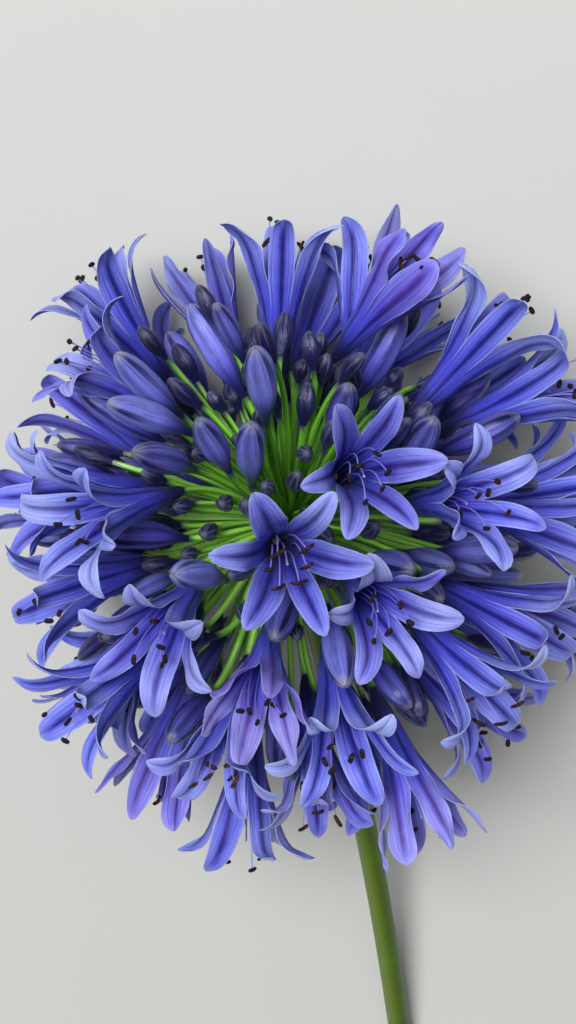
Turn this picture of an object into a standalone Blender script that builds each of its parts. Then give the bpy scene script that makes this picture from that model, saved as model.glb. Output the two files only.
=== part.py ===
"""A cut agapanthus flower head, laid on a surface: one green stem, its stalks and buds, and the open florets.

Everything is in metres, +Z up. The surface is z = 0 and the origin is the middle of the box's underside.
The stem, the knob at its top, the stalks and the closed buds grew as one piece and are one object. Each open
floret is an object of its own, seated on the end of its stalk.
"""

import math
import random

import bmesh
import bpy
import numpy as np
from mathutils import Matrix, Vector

# The lie of the head: its centre, and how steeply its axis rises from the surface
UMBEL_CENTRE = (-0.0038, 0.0865, 0.090)
HEAD_RISE = math.radians(18.0)

# Stem and the knob that the stalks grow from
STEM_LENGTH = 0.300
STEM_RADIUS = 0.0046
STEM_FOOT_SWELL = 1.06
STEM_TOP_SWELL = 1.15
STEM_BOW = 0.004
STEM_STEPS = 7
STEM_SIDES = 10
KNOB_RADIUS = 0.0090
KNOB_PROFILE = ((-0.45, 0.88), (0.05, 1.0), (0.55, 0.82), (0.92, 0.0))

# How many florets of each kind grow in which band, in degrees from the head's top, and the band's first turn
SEED = 23
GROWTH = (
    ("bloom", 50, (27.0, 150.0), 0.4),
    ("bud", 26, (15.0, 138.0), 1.9),
    ("young", 24, (3.0, 44.0), 0.9),
    ("young", 18, (44.0, 130.0), 2.6),
)
GOLDEN_ANGLE = math.pi * (3.0 - math.sqrt(5.0))

# Stalks: their length for each kind of floret, and how they bend
STALK_LENGTH = {"bloom": (0.047, 0.062), "bud": (0.044, 0.060), "young": (0.035, 0.058)}
STALK_RADIUS = 0.00122
STALK_ROOT_RADIUS = 0.00098
STALK_ROOT_DEPTH = 0.55
STALK_LIFT = 0.42
STALK_START_PULL = 0.36
STALK_END_PULL = 0.30
STALK_STEPS = (0.0, 0.38, 0.70, 1.0)
HEAD_LENGTHENING = 0.13
WAYWARDNESS = 0.20
SAG = 0.10

# The open floret: a tube of six tepals that part at its mouth and bend back
BLOOM_SIZE = (0.98, 1.12)
BLOOM_OPENING = (0.62, 1.12)
TEPAL_VARIATION = (0.86, 1.14)
TUBE_LENGTH = 0.020
TUBE_FOOT_HEIGHT = 0.001
TUBE_FOOT_RADIUS = 0.0019
TUBE_MOUTH_RADIUS = 0.0052
TEPALS = 6
TEPAL_LENGTH = 0.037
TEPAL_HALF_WIDTH = (0.0049, 0.0060)
TEPAL_WIDEST_AT = 0.5
TEPAL_TIP_POWERS = (2.4, 0.6)
TEPAL_START_LEAN = math.radians(14.0)
TEPAL_SPREAD = math.radians(20.0)
TEPAL_RECURVE = math.radians(46.0)
RECURVE_FROM = 0.5
TEPAL_FLATTENING = 1.2
TEPAL_ROOM = 0.93
TEPAL_STATIONS = ((0.36, (-1.0, 0.0, 1.0)), (0.80, (-1.0, 1.0)), (1.0, (0.0,)))
KEEL_STEPS = 40
BLOOM_THICKNESS = 0.0007
BLOOM_SEAT_GAP = 0.0003
PRESS_DROP = 0.0045

# Buds, from the profile of (share of length, share of radius) along each kind
BUD_LENGTH = {"bloom": (0.024, 0.041), "bud": (0.024, 0.041), "young": (0.0075, 0.0165)}
BUD_RADIUS = 0.0052
BUD_RADIUS_START = 0.0020
BUD_RADIUS_GROWTH = 0.105
BUD_PROFILE = {
    "bud": ((0.10, 0.62), (0.34, 0.86), (0.70, 1.0), (0.90, 0.70), (1.0, 0.0)),
    "young": ((0.22, 0.85), (0.66, 0.95), (1.0, 0.0)),
}
LOFT_SIDES = {"bloom": 3, "bud": 5, "young": 4}

# The balls that stand for a floret while the florets settle
TUBE_BALLS = ((0.005, 0.0034), (0.013, 0.0046), (0.021, 0.0072), (0.029, 0.0098))
TEPAL_BALLS = ((0.38, 0.0044), (0.66, 0.0056), (0.93, 0.0042))
BUD_BALLS = {"bud": ((0.22, 0.75), (0.55, 1.0), (0.85, 0.85)), "young": ((0.5, 1.0),)}
STALK_BALLS = (0.55, 0.72, 0.86)
STALK_BALL_SWELL = 1.1

# Settling: the room kept, how each round answers a push, and how fast florets drift back to their own places
CLEARANCE = 0.0009
STEM_ROOM = 0.002
BLOOM_STANDOFF = -0.35
BUD_STANDOFF = 1.35
SETTLING_ROUNDS = 420
DRIFT_SHARE = 0.75
PUSH_ANSWER = 0.6
TURN_STIFFNESS = 2e-5
LENGTH_RETURN = 0.05
PLACE_RETURN = 0.012
AXIS_RETURN = 0.05
STALK_GIVE = (0.80, 1.18)
PAIR_ROUNDS = 12
PAIR_REACH = 0.006
TOUCH = 1e-9

VIOLET = (0.085, 0.080, 0.42, 1.0)
LEAF_GREEN = (0.16, 0.32, 0.06, 1.0)


def clear_scene():
    for thing in list(bpy.data.objects):
        bpy.data.objects.remove(thing, do_unlink=True)


def finish(name, colour, roughness):
    material = bpy.data.materials.new(name)
    material.use_nodes = True
    shader = material.node_tree.nodes["Principled BSDF"]
    shader.inputs["Base Color"].default_value = colour
    shader.inputs["Roughness"].default_value = roughness
    shader.inputs["Metallic"].default_value = 0.0
    return material


def mesh_object(shape, name, material):
    mesh = bpy.data.meshes.new(name)
    shape.to_mesh(mesh)
    shape.free()
    mesh.materials.append(material)
    thing = bpy.data.objects.new(name, mesh)
    bpy.context.scene.collection.objects.link(thing)
    return thing


# The forms of a floret and its stalk, which the settling also goes by

def smoothstep(x):
    x = min(max(x, 0.0), 1.0)
    return x * x * (3.0 - 2.0 * x)


def tepal_keel(opening, shares):
    """Points (radius, height, lean) at shares of a tepal's midline, from the tube's mouth to the tip."""
    radius, height = TUBE_MOUTH_RADIUS, TUBE_LENGTH
    step = TEPAL_LENGTH / KEEL_STEPS
    keel = []
    for i in range(KEEL_STEPS + 1):
        share = i / KEEL_STEPS
        bend = max(0.0, share - RECURVE_FROM) / (1.0 - RECURVE_FROM)
        lean = TEPAL_START_LEAN + opening * (TEPAL_SPREAD * share + TEPAL_RECURVE * bend * bend)
        keel.append((radius, height, lean))
        radius += math.sin(lean) * step
        height += math.cos(lean) * step
    return [keel[round(share * KEEL_STEPS)] for share in shares]


def tepal_half_width(share, widest):
    """Half a tepal's width: the tube's own at its mouth, widest halfway, and rounded in to the tip."""
    start = TUBE_MOUTH_RADIUS * math.pi / TEPALS
    if share < TEPAL_WIDEST_AT:
        return start + (widest - start) * smoothstep(share / TEPAL_WIDEST_AT)
    along = (share - TEPAL_WIDEST_AT) / (1.0 - TEPAL_WIDEST_AT)
    inner, outer = TEPAL_TIP_POWERS
    return widest * max(0.0, 1.0 - along ** inner) ** outer


def tepal_point(share, across, keel, widest):
    """A point of a tepal's middle surface, across from -1 to 1; it wraps the funnel less toward its tip."""
    radius, height, lean = keel
    half = min(tepal_half_width(share, widest), TEPAL_ROOM * radius * math.pi / TEPALS)
    curl = radius * (1.0 + TEPAL_FLATTENING * share)
    swing = across * half / curl
    inward = curl * (1.0 - math.cos(swing))
    out, up = radius - inward * math.cos(lean), height + inward * math.sin(lean)
    return Vector((out, curl * math.sin(swing), up))


def bud_radius(length):
    """Buds fatten as they lengthen, up to a limit."""
    return min(BUD_RADIUS, BUD_RADIUS_START + BUD_RADIUS_GROWTH * length)


def stalk_point(root_direction, base, axis, share):
    """Points on stalks, round the umbel's centre, from inside the knob to the floret's foot."""
    root = root_direction * KNOB_RADIUS * STALK_ROOT_DEPTH
    length = np.linalg.norm(base - root, axis=-1, keepdims=True)
    first = root + root_direction * length * STALK_START_PULL
    last = base - axis * length * STALK_END_PULL
    rest = 1.0 - share
    return rest ** 3 * root + 3 * rest ** 2 * share * first + 3 * rest * share ** 2 * last + share ** 3 * base


# The florets and their places

class Floret:
    """One floret's own draw: how it grows, how large it is and how far each tepal has opened."""

    def __init__(self, kind, direction, rng):
        self.kind = kind
        self.direction = direction
        self.reach = rng.uniform(*STALK_LENGTH[kind]) * (1.0 + HEAD_LENGTHENING * direction[1] ** 2)
        self.stray = np.array([rng.gauss(0.0, WAYWARDNESS) for _ in range(3)])
        self.roll = rng.uniform(0.0, 2.0 * math.pi)
        self.size = rng.uniform(*BLOOM_SIZE)
        opening = rng.uniform(*BLOOM_OPENING)
        self.openings = [opening * rng.uniform(*TEPAL_VARIATION) for _ in range(TEPALS)]
        self.length = rng.uniform(*BUD_LENGTH[kind])

    def balls(self):
        """Balls (x, y, z, radius) that fill the floret, in its own frame with its foot at the origin."""
        if self.kind != "bloom":
            radius = bud_radius(self.length)
            return [(0.0, 0.0, along * self.length, swell * radius) for along, swell in BUD_BALLS[self.kind]]
        balls = [(0.0, 0.0, height, radius) for height, radius in TUBE_BALLS]
        for j, opening in enumerate(self.openings):
            angle = 2.0 * math.pi * j / TEPALS
            keel = tepal_keel(opening, [share for share, radius in TEPAL_BALLS])
            for (ring, height, _), (_, radius) in zip(keel, TEPAL_BALLS):
                balls.append((ring * math.cos(angle), ring * math.sin(angle), height, radius))
        return [tuple(self.size * value for value in ball) for ball in balls]


def head_frame():
    """Columns are the head's own x, y and axis in world directions."""
    axis = Vector((0.0, math.cos(HEAD_RISE), math.sin(HEAD_RISE)))
    side = Vector((1.0, 0.0, 0.0))
    return np.array(Matrix((side, axis.cross(side), axis)).transposed())


def band_directions(count, band, turn):
    """Directions spread evenly by a spiral between two angles from the head's top."""
    high, low = (math.cos(math.radians(angle)) for angle in band)
    for i in range(count):
        z = high + (low - high) * (i + 0.5) / count
        ring = math.sqrt(1.0 - z * z)
        angle = turn + i * GOLDEN_ANGLE
        yield np.array((ring * math.cos(angle), ring * math.sin(angle), z))


def unit(vectors):
    return vectors / np.linalg.norm(vectors, axis=-1, keepdims=True)


def floret_frame(direction, roll):
    """Columns of a floret's frame, its axis along the direction."""
    return np.array(Vector(direction).to_track_quat("Z", "Y").to_matrix() @ Matrix.Rotation(roll, 3, "Z"))


def turned(frames, twist):
    """Turns each frame by its own small rotation vector."""
    angle = np.linalg.norm(twist, axis=1)
    x, y, z = (twist / np.maximum(angle, TOUCH)[:, None]).T
    zero = np.zeros(len(x))
    cross = np.array(((zero, -z, y), (z, zero, -x), (-y, x, zero))).transpose(2, 0, 1)
    s, c = np.sin(angle)[:, None, None], np.cos(angle)[:, None, None]
    return (np.eye(3) + s * cross + (1.0 - c) * (cross @ cross)) @ frames


def nearby_pairs(points, sizes, owners, is_stalk):
    """Pairs of balls of different florets close enough to meet soon; stalks may cross each other."""
    square = (points ** 2).sum(1)
    distance = np.sqrt(np.maximum(square[:, None] + square[None, :] - 2.0 * points @ points.T, 0.0))
    close = distance < sizes[:, None] + sizes[None, :] + PAIR_REACH
    close &= owners[:, None] < owners[None, :]
    close &= ~(is_stalk[:, None] & is_stalk[None, :])
    return np.nonzero(close)


def pushes_apart(points, sizes, pairs):
    """The push on each ball from the balls of other florets that it overlaps."""
    push = np.zeros_like(points)
    a, b = pairs
    apart = points[b] - points[a]
    distance = np.linalg.norm(apart, axis=1)
    overlap = sizes[a] + sizes[b] + CLEARANCE - distance
    hit = overlap > 0.0
    shove = apart[hit] / distance[hit, None] * (0.5 * overlap[hit, None])
    np.add.at(push, a[hit], -shove)
    np.add.at(push, b[hit], shove)
    return push


def pushes_off_stem(points, sizes, axis):
    """The push that keeps balls clear of the stem below the knob."""
    along = points @ axis
    across = points - along[:, None] * axis
    distance = np.linalg.norm(across, axis=1) + TOUCH
    depth = STEM_RADIUS + STEM_ROOM + sizes - distance
    depth = np.where((along < 0.0) & (depth > 0.0), depth, 0.0)
    return across / distance[:, None] * depth[:, None]


def settled_florets():
    """All florets, pushed by each other, the stem and the surface until none of them touch.

    A floret is a rigid body hung at its foot: a push slides the foot and turns the floret about it, while
    the stalk's length, place and lean drift back to what they grew as, less and less each round.
    """
    head = head_frame()
    rng = random.Random(SEED)
    florets = [Floret(kind, head @ direction, rng)
               for kind, count, band, turn in GROWTH for direction in band_directions(count, band, turn)]
    count = len(florets)
    home = np.array([flower.direction for flower in florets])
    reach = np.array([flower.reach for flower in florets])[:, None]
    lean = np.array([flower.stray for flower in florets]) - SAG * head[:, 2]
    roots = unit(home + STALK_LIFT * head[:, 2])
    base = home * reach
    frames = np.array([floret_frame(home[i] + lean[i], florets[i].roll) for i in range(count)])

    filling = np.array([(i, *ball) for i, flower in enumerate(florets) for ball in flower.balls()])
    owner, spot, size = filling[:, 0].astype(int), filling[:, 1:4], filling[:, 4]
    stalk_share = np.repeat(STALK_BALLS, count)[:, None]
    stalk_owner = np.tile(np.arange(count), len(STALK_BALLS))
    owners = np.concatenate((owner, stalk_owner))
    sizes = np.concatenate((size, np.full(len(stalk_owner), STALK_RADIUS * STALK_BALL_SWELL)))
    is_stalk = np.arange(len(owners)) >= len(owner)
    yields = np.array([florets[i].kind == "bloom" for i in owners]) & ~is_stalk
    lowest = sizes * np.where(yields, BLOOM_STANDOFF, BUD_STANDOFF) - UMBEL_CENTRE[2]

    def per_floret(values):
        return np.stack([np.bincount(owners, weights=column, minlength=count) for column in values.T], 1)

    for turn in range(SETTLING_ROUNDS):
        drift = max(0.0, 1.0 - turn / (DRIFT_SHARE * SETTLING_ROUNDS))
        axes = frames[:, :, 2]
        filled = base[owner] + np.einsum("nij,nj->ni", frames[owner], spot)
        stalks = stalk_point(roots[stalk_owner], base[stalk_owner], axes[stalk_owner], stalk_share)
        points = np.concatenate((filled, stalks))
        if turn % PAIR_ROUNDS == 0:
            pairs = nearby_pairs(points, sizes, owners, is_stalk)
        push = pushes_apart(points, sizes, pairs) + pushes_off_stem(points, sizes, head[:, 2])
        push[:, 2] += np.maximum(lowest - points[:, 2], 0.0)
        pushed = (np.linalg.norm(push, axis=1, keepdims=True) > TOUCH).astype(float)
        turning = pushed * ~is_stalk[:, None]
        arms = points - base[owners]

        base = base + PUSH_ANSWER * per_floret(push) / (per_floret(pushed) + 0.5)
        distance = np.linalg.norm(base, axis=1, keepdims=True)
        length = distance + LENGTH_RETURN * drift * (reach - distance)
        outward = unit(base / distance + PLACE_RETURN * drift * home)
        base = outward * np.clip(length, STALK_GIVE[0] * reach, STALK_GIVE[1] * reach)

        inertia = per_floret(turning * (arms ** 2).sum(1, keepdims=True)) + TURN_STIFFNESS
        twist = PUSH_ANSWER * per_floret(turning * np.cross(arms, push)) / inertia
        frames = turned(frames, twist + AXIS_RETURN * drift * np.cross(axes, outward + lean))

    for i, flower in enumerate(florets):
        flower.base = np.round(base[i], 6)
        flower.frame = np.round(frames[i], 6)
        flower.root = roots[i]
    return florets


# The open florets

def floret_sheet(flower):
    """The floret's middle surface in its own frame: its points, triangles, and each tepal's rows of points."""
    points = [Vector((0.0, 0.0, 0.0))]
    foot, mouth = [], []
    for j in range(TEPALS):
        angle = 2.0 * math.pi * j / TEPALS
        foot.append(len(points))
        points.append(Vector((TUBE_FOOT_RADIUS * math.cos(angle), TUBE_FOOT_RADIUS * math.sin(angle),
                              TUBE_FOOT_HEIGHT)))
    for j in range(2 * TEPALS):
        angle = math.pi * j / TEPALS
        mouth.append(len(points))
        points.append(Vector((TUBE_MOUTH_RADIUS * math.cos(angle), TUBE_MOUTH_RADIUS * math.sin(angle),
                              TUBE_LENGTH)))
    triangles, tepals = [], []
    for j in range(TEPALS):
        after = (j + 1) % TEPALS
        keel, crotch, next_keel = mouth[2 * j], mouth[2 * j + 1], mouth[2 * after]
        triangles += [(0, foot[after], foot[j]), (foot[j], crotch, keel), (foot[j], foot[after], crotch),
                      (foot[after], next_keel, crotch)]
    shares = [share for share, spread in TEPAL_STATIONS]
    for j, opening in enumerate(flower.openings):
        place = Matrix.Rotation(2.0 * math.pi * j / TEPALS, 3, "Z")
        rows = []
        for keel, (share, spread) in zip(tepal_keel(opening, shares), TEPAL_STATIONS):
            row = []
            for across in spread:
                row.append(len(points))
                points.append(place @ tepal_point(share, across, keel, TEPAL_HALF_WIDTH[j % 2]))
            rows.append(row)
        right, keel, left = mouth[2 * j - 1], mouth[2 * j], mouth[2 * j + 1]
        (right_1, keel_1, left_1), (right_2, left_2), (tip,) = rows
        triangles += [(right, keel, keel_1), (right, keel_1, right_1), (keel, left, left_1),
                      (keel, left_1, keel_1), (right_1, keel_1, right_2), (keel_1, left_2, right_2),
                      (keel_1, left_1, left_2), (right_2, left_2, tip)]
        tepals.append(rows)
    return [flower.size * point for point in points], triangles, tepals


def press_on_surface(verts, tepals):
    """Lays the ends of tepals that would dip below the surface flat on it, and returns the points pressed."""
    floor = BLOOM_THICKNESS / 2.0
    for rows in tepals:
        tip = verts[rows[-1][0]]
        if tip.co.z < floor:
            for k in rows[-2]:
                verts[k].co.z -= PRESS_DROP
    pressed = {vert for vert in verts if vert.co.z < floor}
    for vert in pressed:
        vert.co.z = floor
    return pressed


def thickened(sheet, verts, pressed):
    """A closed solid round the sheet: the same triangles on both faces, joined by a rim."""
    half = BLOOM_THICKNESS / 2.0
    sheet.normal_update()
    solid = bmesh.new()
    outer, inner = {}, {}
    for vert in verts:
        outer[vert] = solid.verts.new(vert.co + half * vert.normal)
        inner[vert] = solid.verts.new(vert.co - half * vert.normal)
        if vert in pressed:
            lower, upper = sorted((outer[vert], inner[vert]), key=lambda side: side.co.z)
            lower.co.z, upper.co.z = 0.0, BLOOM_THICKNESS
    for face in sheet.faces:
        a, b, c = face.verts
        solid.faces.new((outer[a], outer[b], outer[c]))
        solid.faces.new((inner[c], inner[b], inner[a]))
    for edge in sheet.edges:
        if edge.is_boundary:
            loop = edge.link_loops[0]
            a, b = loop.vert, loop.link_loop_next.vert
            solid.faces.new((outer[b], outer[a], inner[a]))
            solid.faces.new((outer[b], inner[a], inner[b]))
    return solid


def open_floret(flower, name, material):
    """One open floret, its foot seated a hair beyond the end of its stalk."""
    points, triangles, tepals = floret_sheet(flower)
    frame = Matrix(flower.frame.tolist())
    seat = BLOOM_SEAT_GAP + BLOOM_THICKNESS / 2.0
    foot = Vector(UMBEL_CENTRE) + Vector(flower.base) + frame.col[2] * seat
    sheet = bmesh.new()
    verts = [sheet.verts.new(foot + frame @ point) for point in points]
    for a, b, c in triangles:
        sheet.faces.new((verts[a], verts[b], verts[c]))
    pressed = press_on_surface(verts, tepals)
    solid = thickened(sheet, verts, pressed)
    sheet.free()
    return mesh_object(solid, name, material)


# Stem, knob, stalks and buds

def loft(rings, sides):
    """A closed tube through rings given as (centre, axis, radius); a ring of no radius is a point."""
    shape = bmesh.new()
    previous = None
    for centre, axis, radius in rings:
        if radius == 0.0:
            tip = shape.verts.new(centre)
            for k in range(sides):
                shape.faces.new((previous[k], previous[(k + 1) % sides], tip))
            return shape
        frame = axis.to_track_quat("Z", "Y").to_matrix()
        ring = []
        for k in range(sides):
            angle = 2.0 * math.pi * k / sides
            spoke = Vector((radius * math.cos(angle), radius * math.sin(angle), 0.0))
            ring.append(shape.verts.new(centre + frame @ spoke))
        if previous is None:
            shape.faces.new(tuple(reversed(ring)))
        else:
            for k in range(sides):
                after = (k + 1) % sides
                shape.faces.new((previous[k], previous[after], ring[after], ring[k]))
        previous = ring
    shape.faces.new(tuple(previous))
    return shape


def stalk_and_bud(flower):
    """A stalk, with the closed bud at its end where it carries one."""
    centre = Vector(UMBEL_CENTRE)
    axis = flower.frame[:, 2]
    rings = []
    for share in STALK_STEPS:
        point = stalk_point(flower.root, flower.base, axis, share)
        ahead = stalk_point(flower.root, flower.base, axis, share + 0.01)
        radius = STALK_ROOT_RADIUS if share == 0.0 else STALK_RADIUS
        rings.append((centre + Vector(point), Vector(unit(ahead - point)), radius))
    if flower.kind != "bloom":
        radius = bud_radius(flower.length)
        for along, swell in BUD_PROFILE[flower.kind]:
            place = centre + Vector(flower.base + axis * along * flower.length)
            rings.append((place, Vector(axis), swell * radius))
    return loft(rings, LOFT_SIDES[flower.kind])


def stem_and_knob():
    """The stem from its cut end on the surface up to the knob, with the slight bow of a grown stalk."""
    axis = Vector(head_frame()[:, 2])
    centre = Vector(UMBEL_CENTRE)
    foot_radius = STEM_FOOT_SWELL * STEM_RADIUS
    rise = math.asin(centre.z / math.hypot(STEM_LENGTH, foot_radius)) - math.atan2(foot_radius, STEM_LENGTH)
    run = Vector((0.0, math.cos(rise), math.sin(rise)))
    rings = []
    for i in range(STEM_STEPS):
        share = i / STEM_STEPS
        bow = STEM_BOW * math.sin(math.pi * share)
        swell = STEM_FOOT_SWELL + (1.0 - STEM_FOOT_SWELL) * share
        place = centre - run * STEM_LENGTH * (1.0 - share) + Vector((bow, 0.0, 0.0))
        rings.append((place, run, swell * STEM_RADIUS))
    rings.append((centre - axis * KNOB_RADIUS, axis, STEM_TOP_SWELL * STEM_RADIUS))
    for along, swell in KNOB_PROFILE:
        rings.append((centre + axis * (along * KNOB_RADIUS), axis, swell * KNOB_RADIUS))
    return loft(rings, STEM_SIDES)


def green_body(florets, material):
    """Stem, knob, stalks and buds joined into the one piece they grew as."""
    stem = mesh_object(stem_and_knob(), "stem", material)
    parts = bpy.data.collections.new("stalks")
    for flower in florets:
        stalk = mesh_object(stalk_and_bud(flower), "stalk", material)
        bpy.context.scene.collection.objects.unlink(stalk)
        parts.objects.link(stalk)
    join = stem.modifiers.new("Join", "BOOLEAN")
    join.operation = "UNION"
    join.operand_type = "COLLECTION"
    join.collection = parts
    join.solver = "MANIFOLD"
    grown = bpy.data.meshes.new_from_object(stem.evaluated_get(bpy.context.evaluated_depsgraph_get()))
    stem.modifiers.clear()
    stem.data = grown
    for stalk in list(parts.objects):
        bpy.data.objects.remove(stalk, do_unlink=True)
    bpy.data.collections.remove(parts)


def main():
    clear_scene()
    florets = settled_florets()
    green_body(florets, finish("stem_green", LEAF_GREEN, 0.45))
    violet = finish("petal_violet", VIOLET, 0.5)
    blooms = [flower for flower in florets if flower.kind == "bloom"]
    for i, flower in enumerate(blooms):
        open_floret(flower, f"bloom_{i + 1:02d}", violet)


main()
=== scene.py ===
"""A cut agapanthus flower head laid on a pale surface, in its fine form.

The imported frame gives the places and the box. The open florets, buds, stalks and stem of the frame are
replaced here by finer pieces of the same form. Everything is in metres, +Z up, and the surface is z = 0.
"""

import math
import random

import bpy
import numpy as np
from bpy.props import FloatProperty, FloatVectorProperty, PointerProperty
from bpy.types import Operator, Panel, PropertyGroup
from mathutils import Matrix, Vector


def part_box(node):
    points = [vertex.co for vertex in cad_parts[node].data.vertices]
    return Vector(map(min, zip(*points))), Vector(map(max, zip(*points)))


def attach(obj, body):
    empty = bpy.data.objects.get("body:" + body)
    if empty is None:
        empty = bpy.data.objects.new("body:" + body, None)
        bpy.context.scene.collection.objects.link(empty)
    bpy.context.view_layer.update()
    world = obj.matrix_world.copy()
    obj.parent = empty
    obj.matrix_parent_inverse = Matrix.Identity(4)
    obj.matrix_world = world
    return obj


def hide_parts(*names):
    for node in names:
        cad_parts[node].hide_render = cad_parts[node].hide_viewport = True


bl_info = {
    "name": "Agapanthus Flower Head",
    "version": (1, 0, 0),
    "blender": (4, 5, 0),
    "location": "3D View > Sidebar > Agapanthus",
    "description": "Fine florets, buds, stalks and stem of a cut agapanthus head, with its stage",
    "category": "Object",
}

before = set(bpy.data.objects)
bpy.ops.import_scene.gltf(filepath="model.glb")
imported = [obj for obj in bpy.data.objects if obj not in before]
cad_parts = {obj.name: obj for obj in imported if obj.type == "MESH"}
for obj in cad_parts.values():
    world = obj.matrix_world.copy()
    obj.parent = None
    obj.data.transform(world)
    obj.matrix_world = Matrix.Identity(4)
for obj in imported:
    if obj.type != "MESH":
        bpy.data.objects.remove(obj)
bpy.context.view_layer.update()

# The lie of the head: its centre, and how steeply its axis rises from the surface
UMBEL_CENTRE = (-0.0038, 0.0865, 0.090)
HEAD_RISE = math.radians(18.0)

# Stem and the knob that the stalks grow from
STEM_LENGTH = 0.300
STEM_RADIUS = 0.0046
STEM_FOOT_SWELL = 1.06
STEM_TOP_SWELL = 1.15
STEM_BOW = 0.004
KNOB_RADIUS = 0.0090
KNOB_BLEND = 2.5
KNOB_PROFILE = ((-0.45, 0.80), (-0.1, 0.95), (0.2, 0.95), (0.5, 0.82), (0.75, 0.58), (0.88, 0.3),
                (0.92, 0.02))

# How many florets of each kind grow in which band, in degrees from the head's top, and the band's first turn
SEED = 23
GROWTH = (
    ("bloom", 50, (27.0, 150.0), 0.4),
    ("bud", 26, (15.0, 138.0), 1.9),
    ("young", 24, (3.0, 44.0), 0.9),
    ("young", 18, (44.0, 130.0), 2.6),
)
GOLDEN_ANGLE = math.pi * (3.0 - math.sqrt(5.0))

# Stalks: their length for each kind of floret, and how they bend
STALK_LENGTH = {"bloom": (0.047, 0.062), "bud": (0.044, 0.060), "young": (0.035, 0.058),
                "middling": (0.044, 0.070)}
STALK_BALL_RADIUS = 0.00122
STALK_ROOT_DEPTH = 0.55
STALK_LIFT = 0.42
STALK_START_PULL = 0.36
STALK_END_PULL = 0.30
HEAD_LENGTHENING = 0.13
WAYWARDNESS = 0.20
SAG = 0.10

# The open floret: a tube of six tepals that part at its mouth and bend back
BLOOM_SIZE = (0.98, 1.12)
BLOOM_OPENING = (0.62, 1.12)
TEPAL_VARIATION = (0.86, 1.14)
TUBE_LENGTH = 0.020
TUBE_MOUTH_RADIUS = 0.0052
TEPALS = 6
TEPAL_LENGTH = 0.037
TEPAL_HALF_WIDTH = (0.0049, 0.0060)
TEPAL_WIDEST_AT = 0.5
TEPAL_TIP_POWERS = (2.5, 0.53)
TEPAL_START_LEAN = math.radians(14.0)
TEPAL_SPREAD = math.radians(20.0)
TEPAL_RECURVE = math.radians(46.0)
RECURVE_FROM = 0.5
TEPAL_FLATTENING = 1.2
KEEL_STEPS = 40
PRESS_DROP = 0.0045

# Bud sizes
BUD_LENGTH = {"bloom": (0.024, 0.041), "bud": (0.024, 0.041), "young": (0.0075, 0.0165),
              "middling": (0.013, 0.026)}
BUD_RADIUS = 0.0052
BUD_RADIUS_START = 0.0020
BUD_RADIUS_GROWTH = 0.105

# The balls that stand for a floret while the florets settle
TUBE_BALLS = ((0.005, 0.0034), (0.013, 0.0046), (0.021, 0.0072), (0.029, 0.0098))
TEPAL_BALLS = ((0.38, 0.0044), (0.66, 0.0056), (0.93, 0.0042))
BUD_BALLS = {"bud": ((0.22, 0.75), (0.55, 1.0), (0.85, 0.85)), "young": ((0.5, 1.0),),
             "middling": ((0.22, 0.6), (0.5, 0.8), (0.8, 0.7))}
STALK_BALLS = (0.55, 0.72, 0.86)
STALK_BALL_SWELL = 1.1

# Settling: the room kept, how each round answers a push, and how fast florets drift back to their own places
CLEARANCE = 0.0009
STEM_ROOM = 0.002
BLOOM_STANDOFF = -0.35
BUD_STANDOFF = 1.35
SETTLING_ROUNDS = 420
DRIFT_SHARE = 0.75
PUSH_ANSWER = 0.6
TURN_STIFFNESS = 2e-5
LENGTH_RETURN = 0.05
PLACE_RETURN = 0.012
AXIS_RETURN = 0.05
STALK_GIVE = (0.80, 1.18)
PAIR_ROUNDS = 12
PAIR_REACH = 0.006
TOUCH = 1e-9

# Buds that the frame leaves out, grown where there is room between the others
EXTRA_SEED = 77
EXTRA_BUDS = (("bud", 34, 145.0), ("middling", 70, 145.0), ("young", 52, 84.0))
EXTRA_REACH = 1.08
EXTRA_TRIES = 60
EXTRA_ROOM = 0.0002
EXTRA_LEAN = 0.22
EXTRA_STALK_SHARES = (0.6, 0.7, 0.8, 0.9, 1.0)

# The fine tepal: rows along it, columns across it, and the ribs, groove and overlap that its sheet takes
TUBE_ROWS = 7
TEPAL_ROWS = 18
ACROSS = np.array((-1.0, -0.84, -0.62, -0.38, -0.15, 0.0, 0.15, 0.38, 0.62, 0.84, 1.0))
ROW_CROWDING = 1.15
LAST_SHARE = 0.997
TUBE_FOOT_RADIUS = 0.00135
TUBE_FOOT_REACH = 0.0009
TUBE_FLARE_POWER = 0.88
TUBE_KEEL = 0.00016
TUBE_SEAM = 0.00026
TUBE_RIBS_BY = 0.5
GROOVE_WIDTH = 0.19
GROOVE_AT_MOUTH = 0.35
VEINS_A_SIDE = 4.0
WHORL_STEP = 0.00032
WHORL_BY = 0.12
OVERLAP = 0.20
FREE_BY = 0.25
SHOULDER_POWER = 0.68
FULLNESS = 1.3
TEPAL_HOLD = 0.86
TEPAL_EDGE_THINNING = 0.45
PETAL_REST = 0.0003
PRESS_RISE = (0.40, 0.80)
PRESS_EASING = 0.0008

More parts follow.
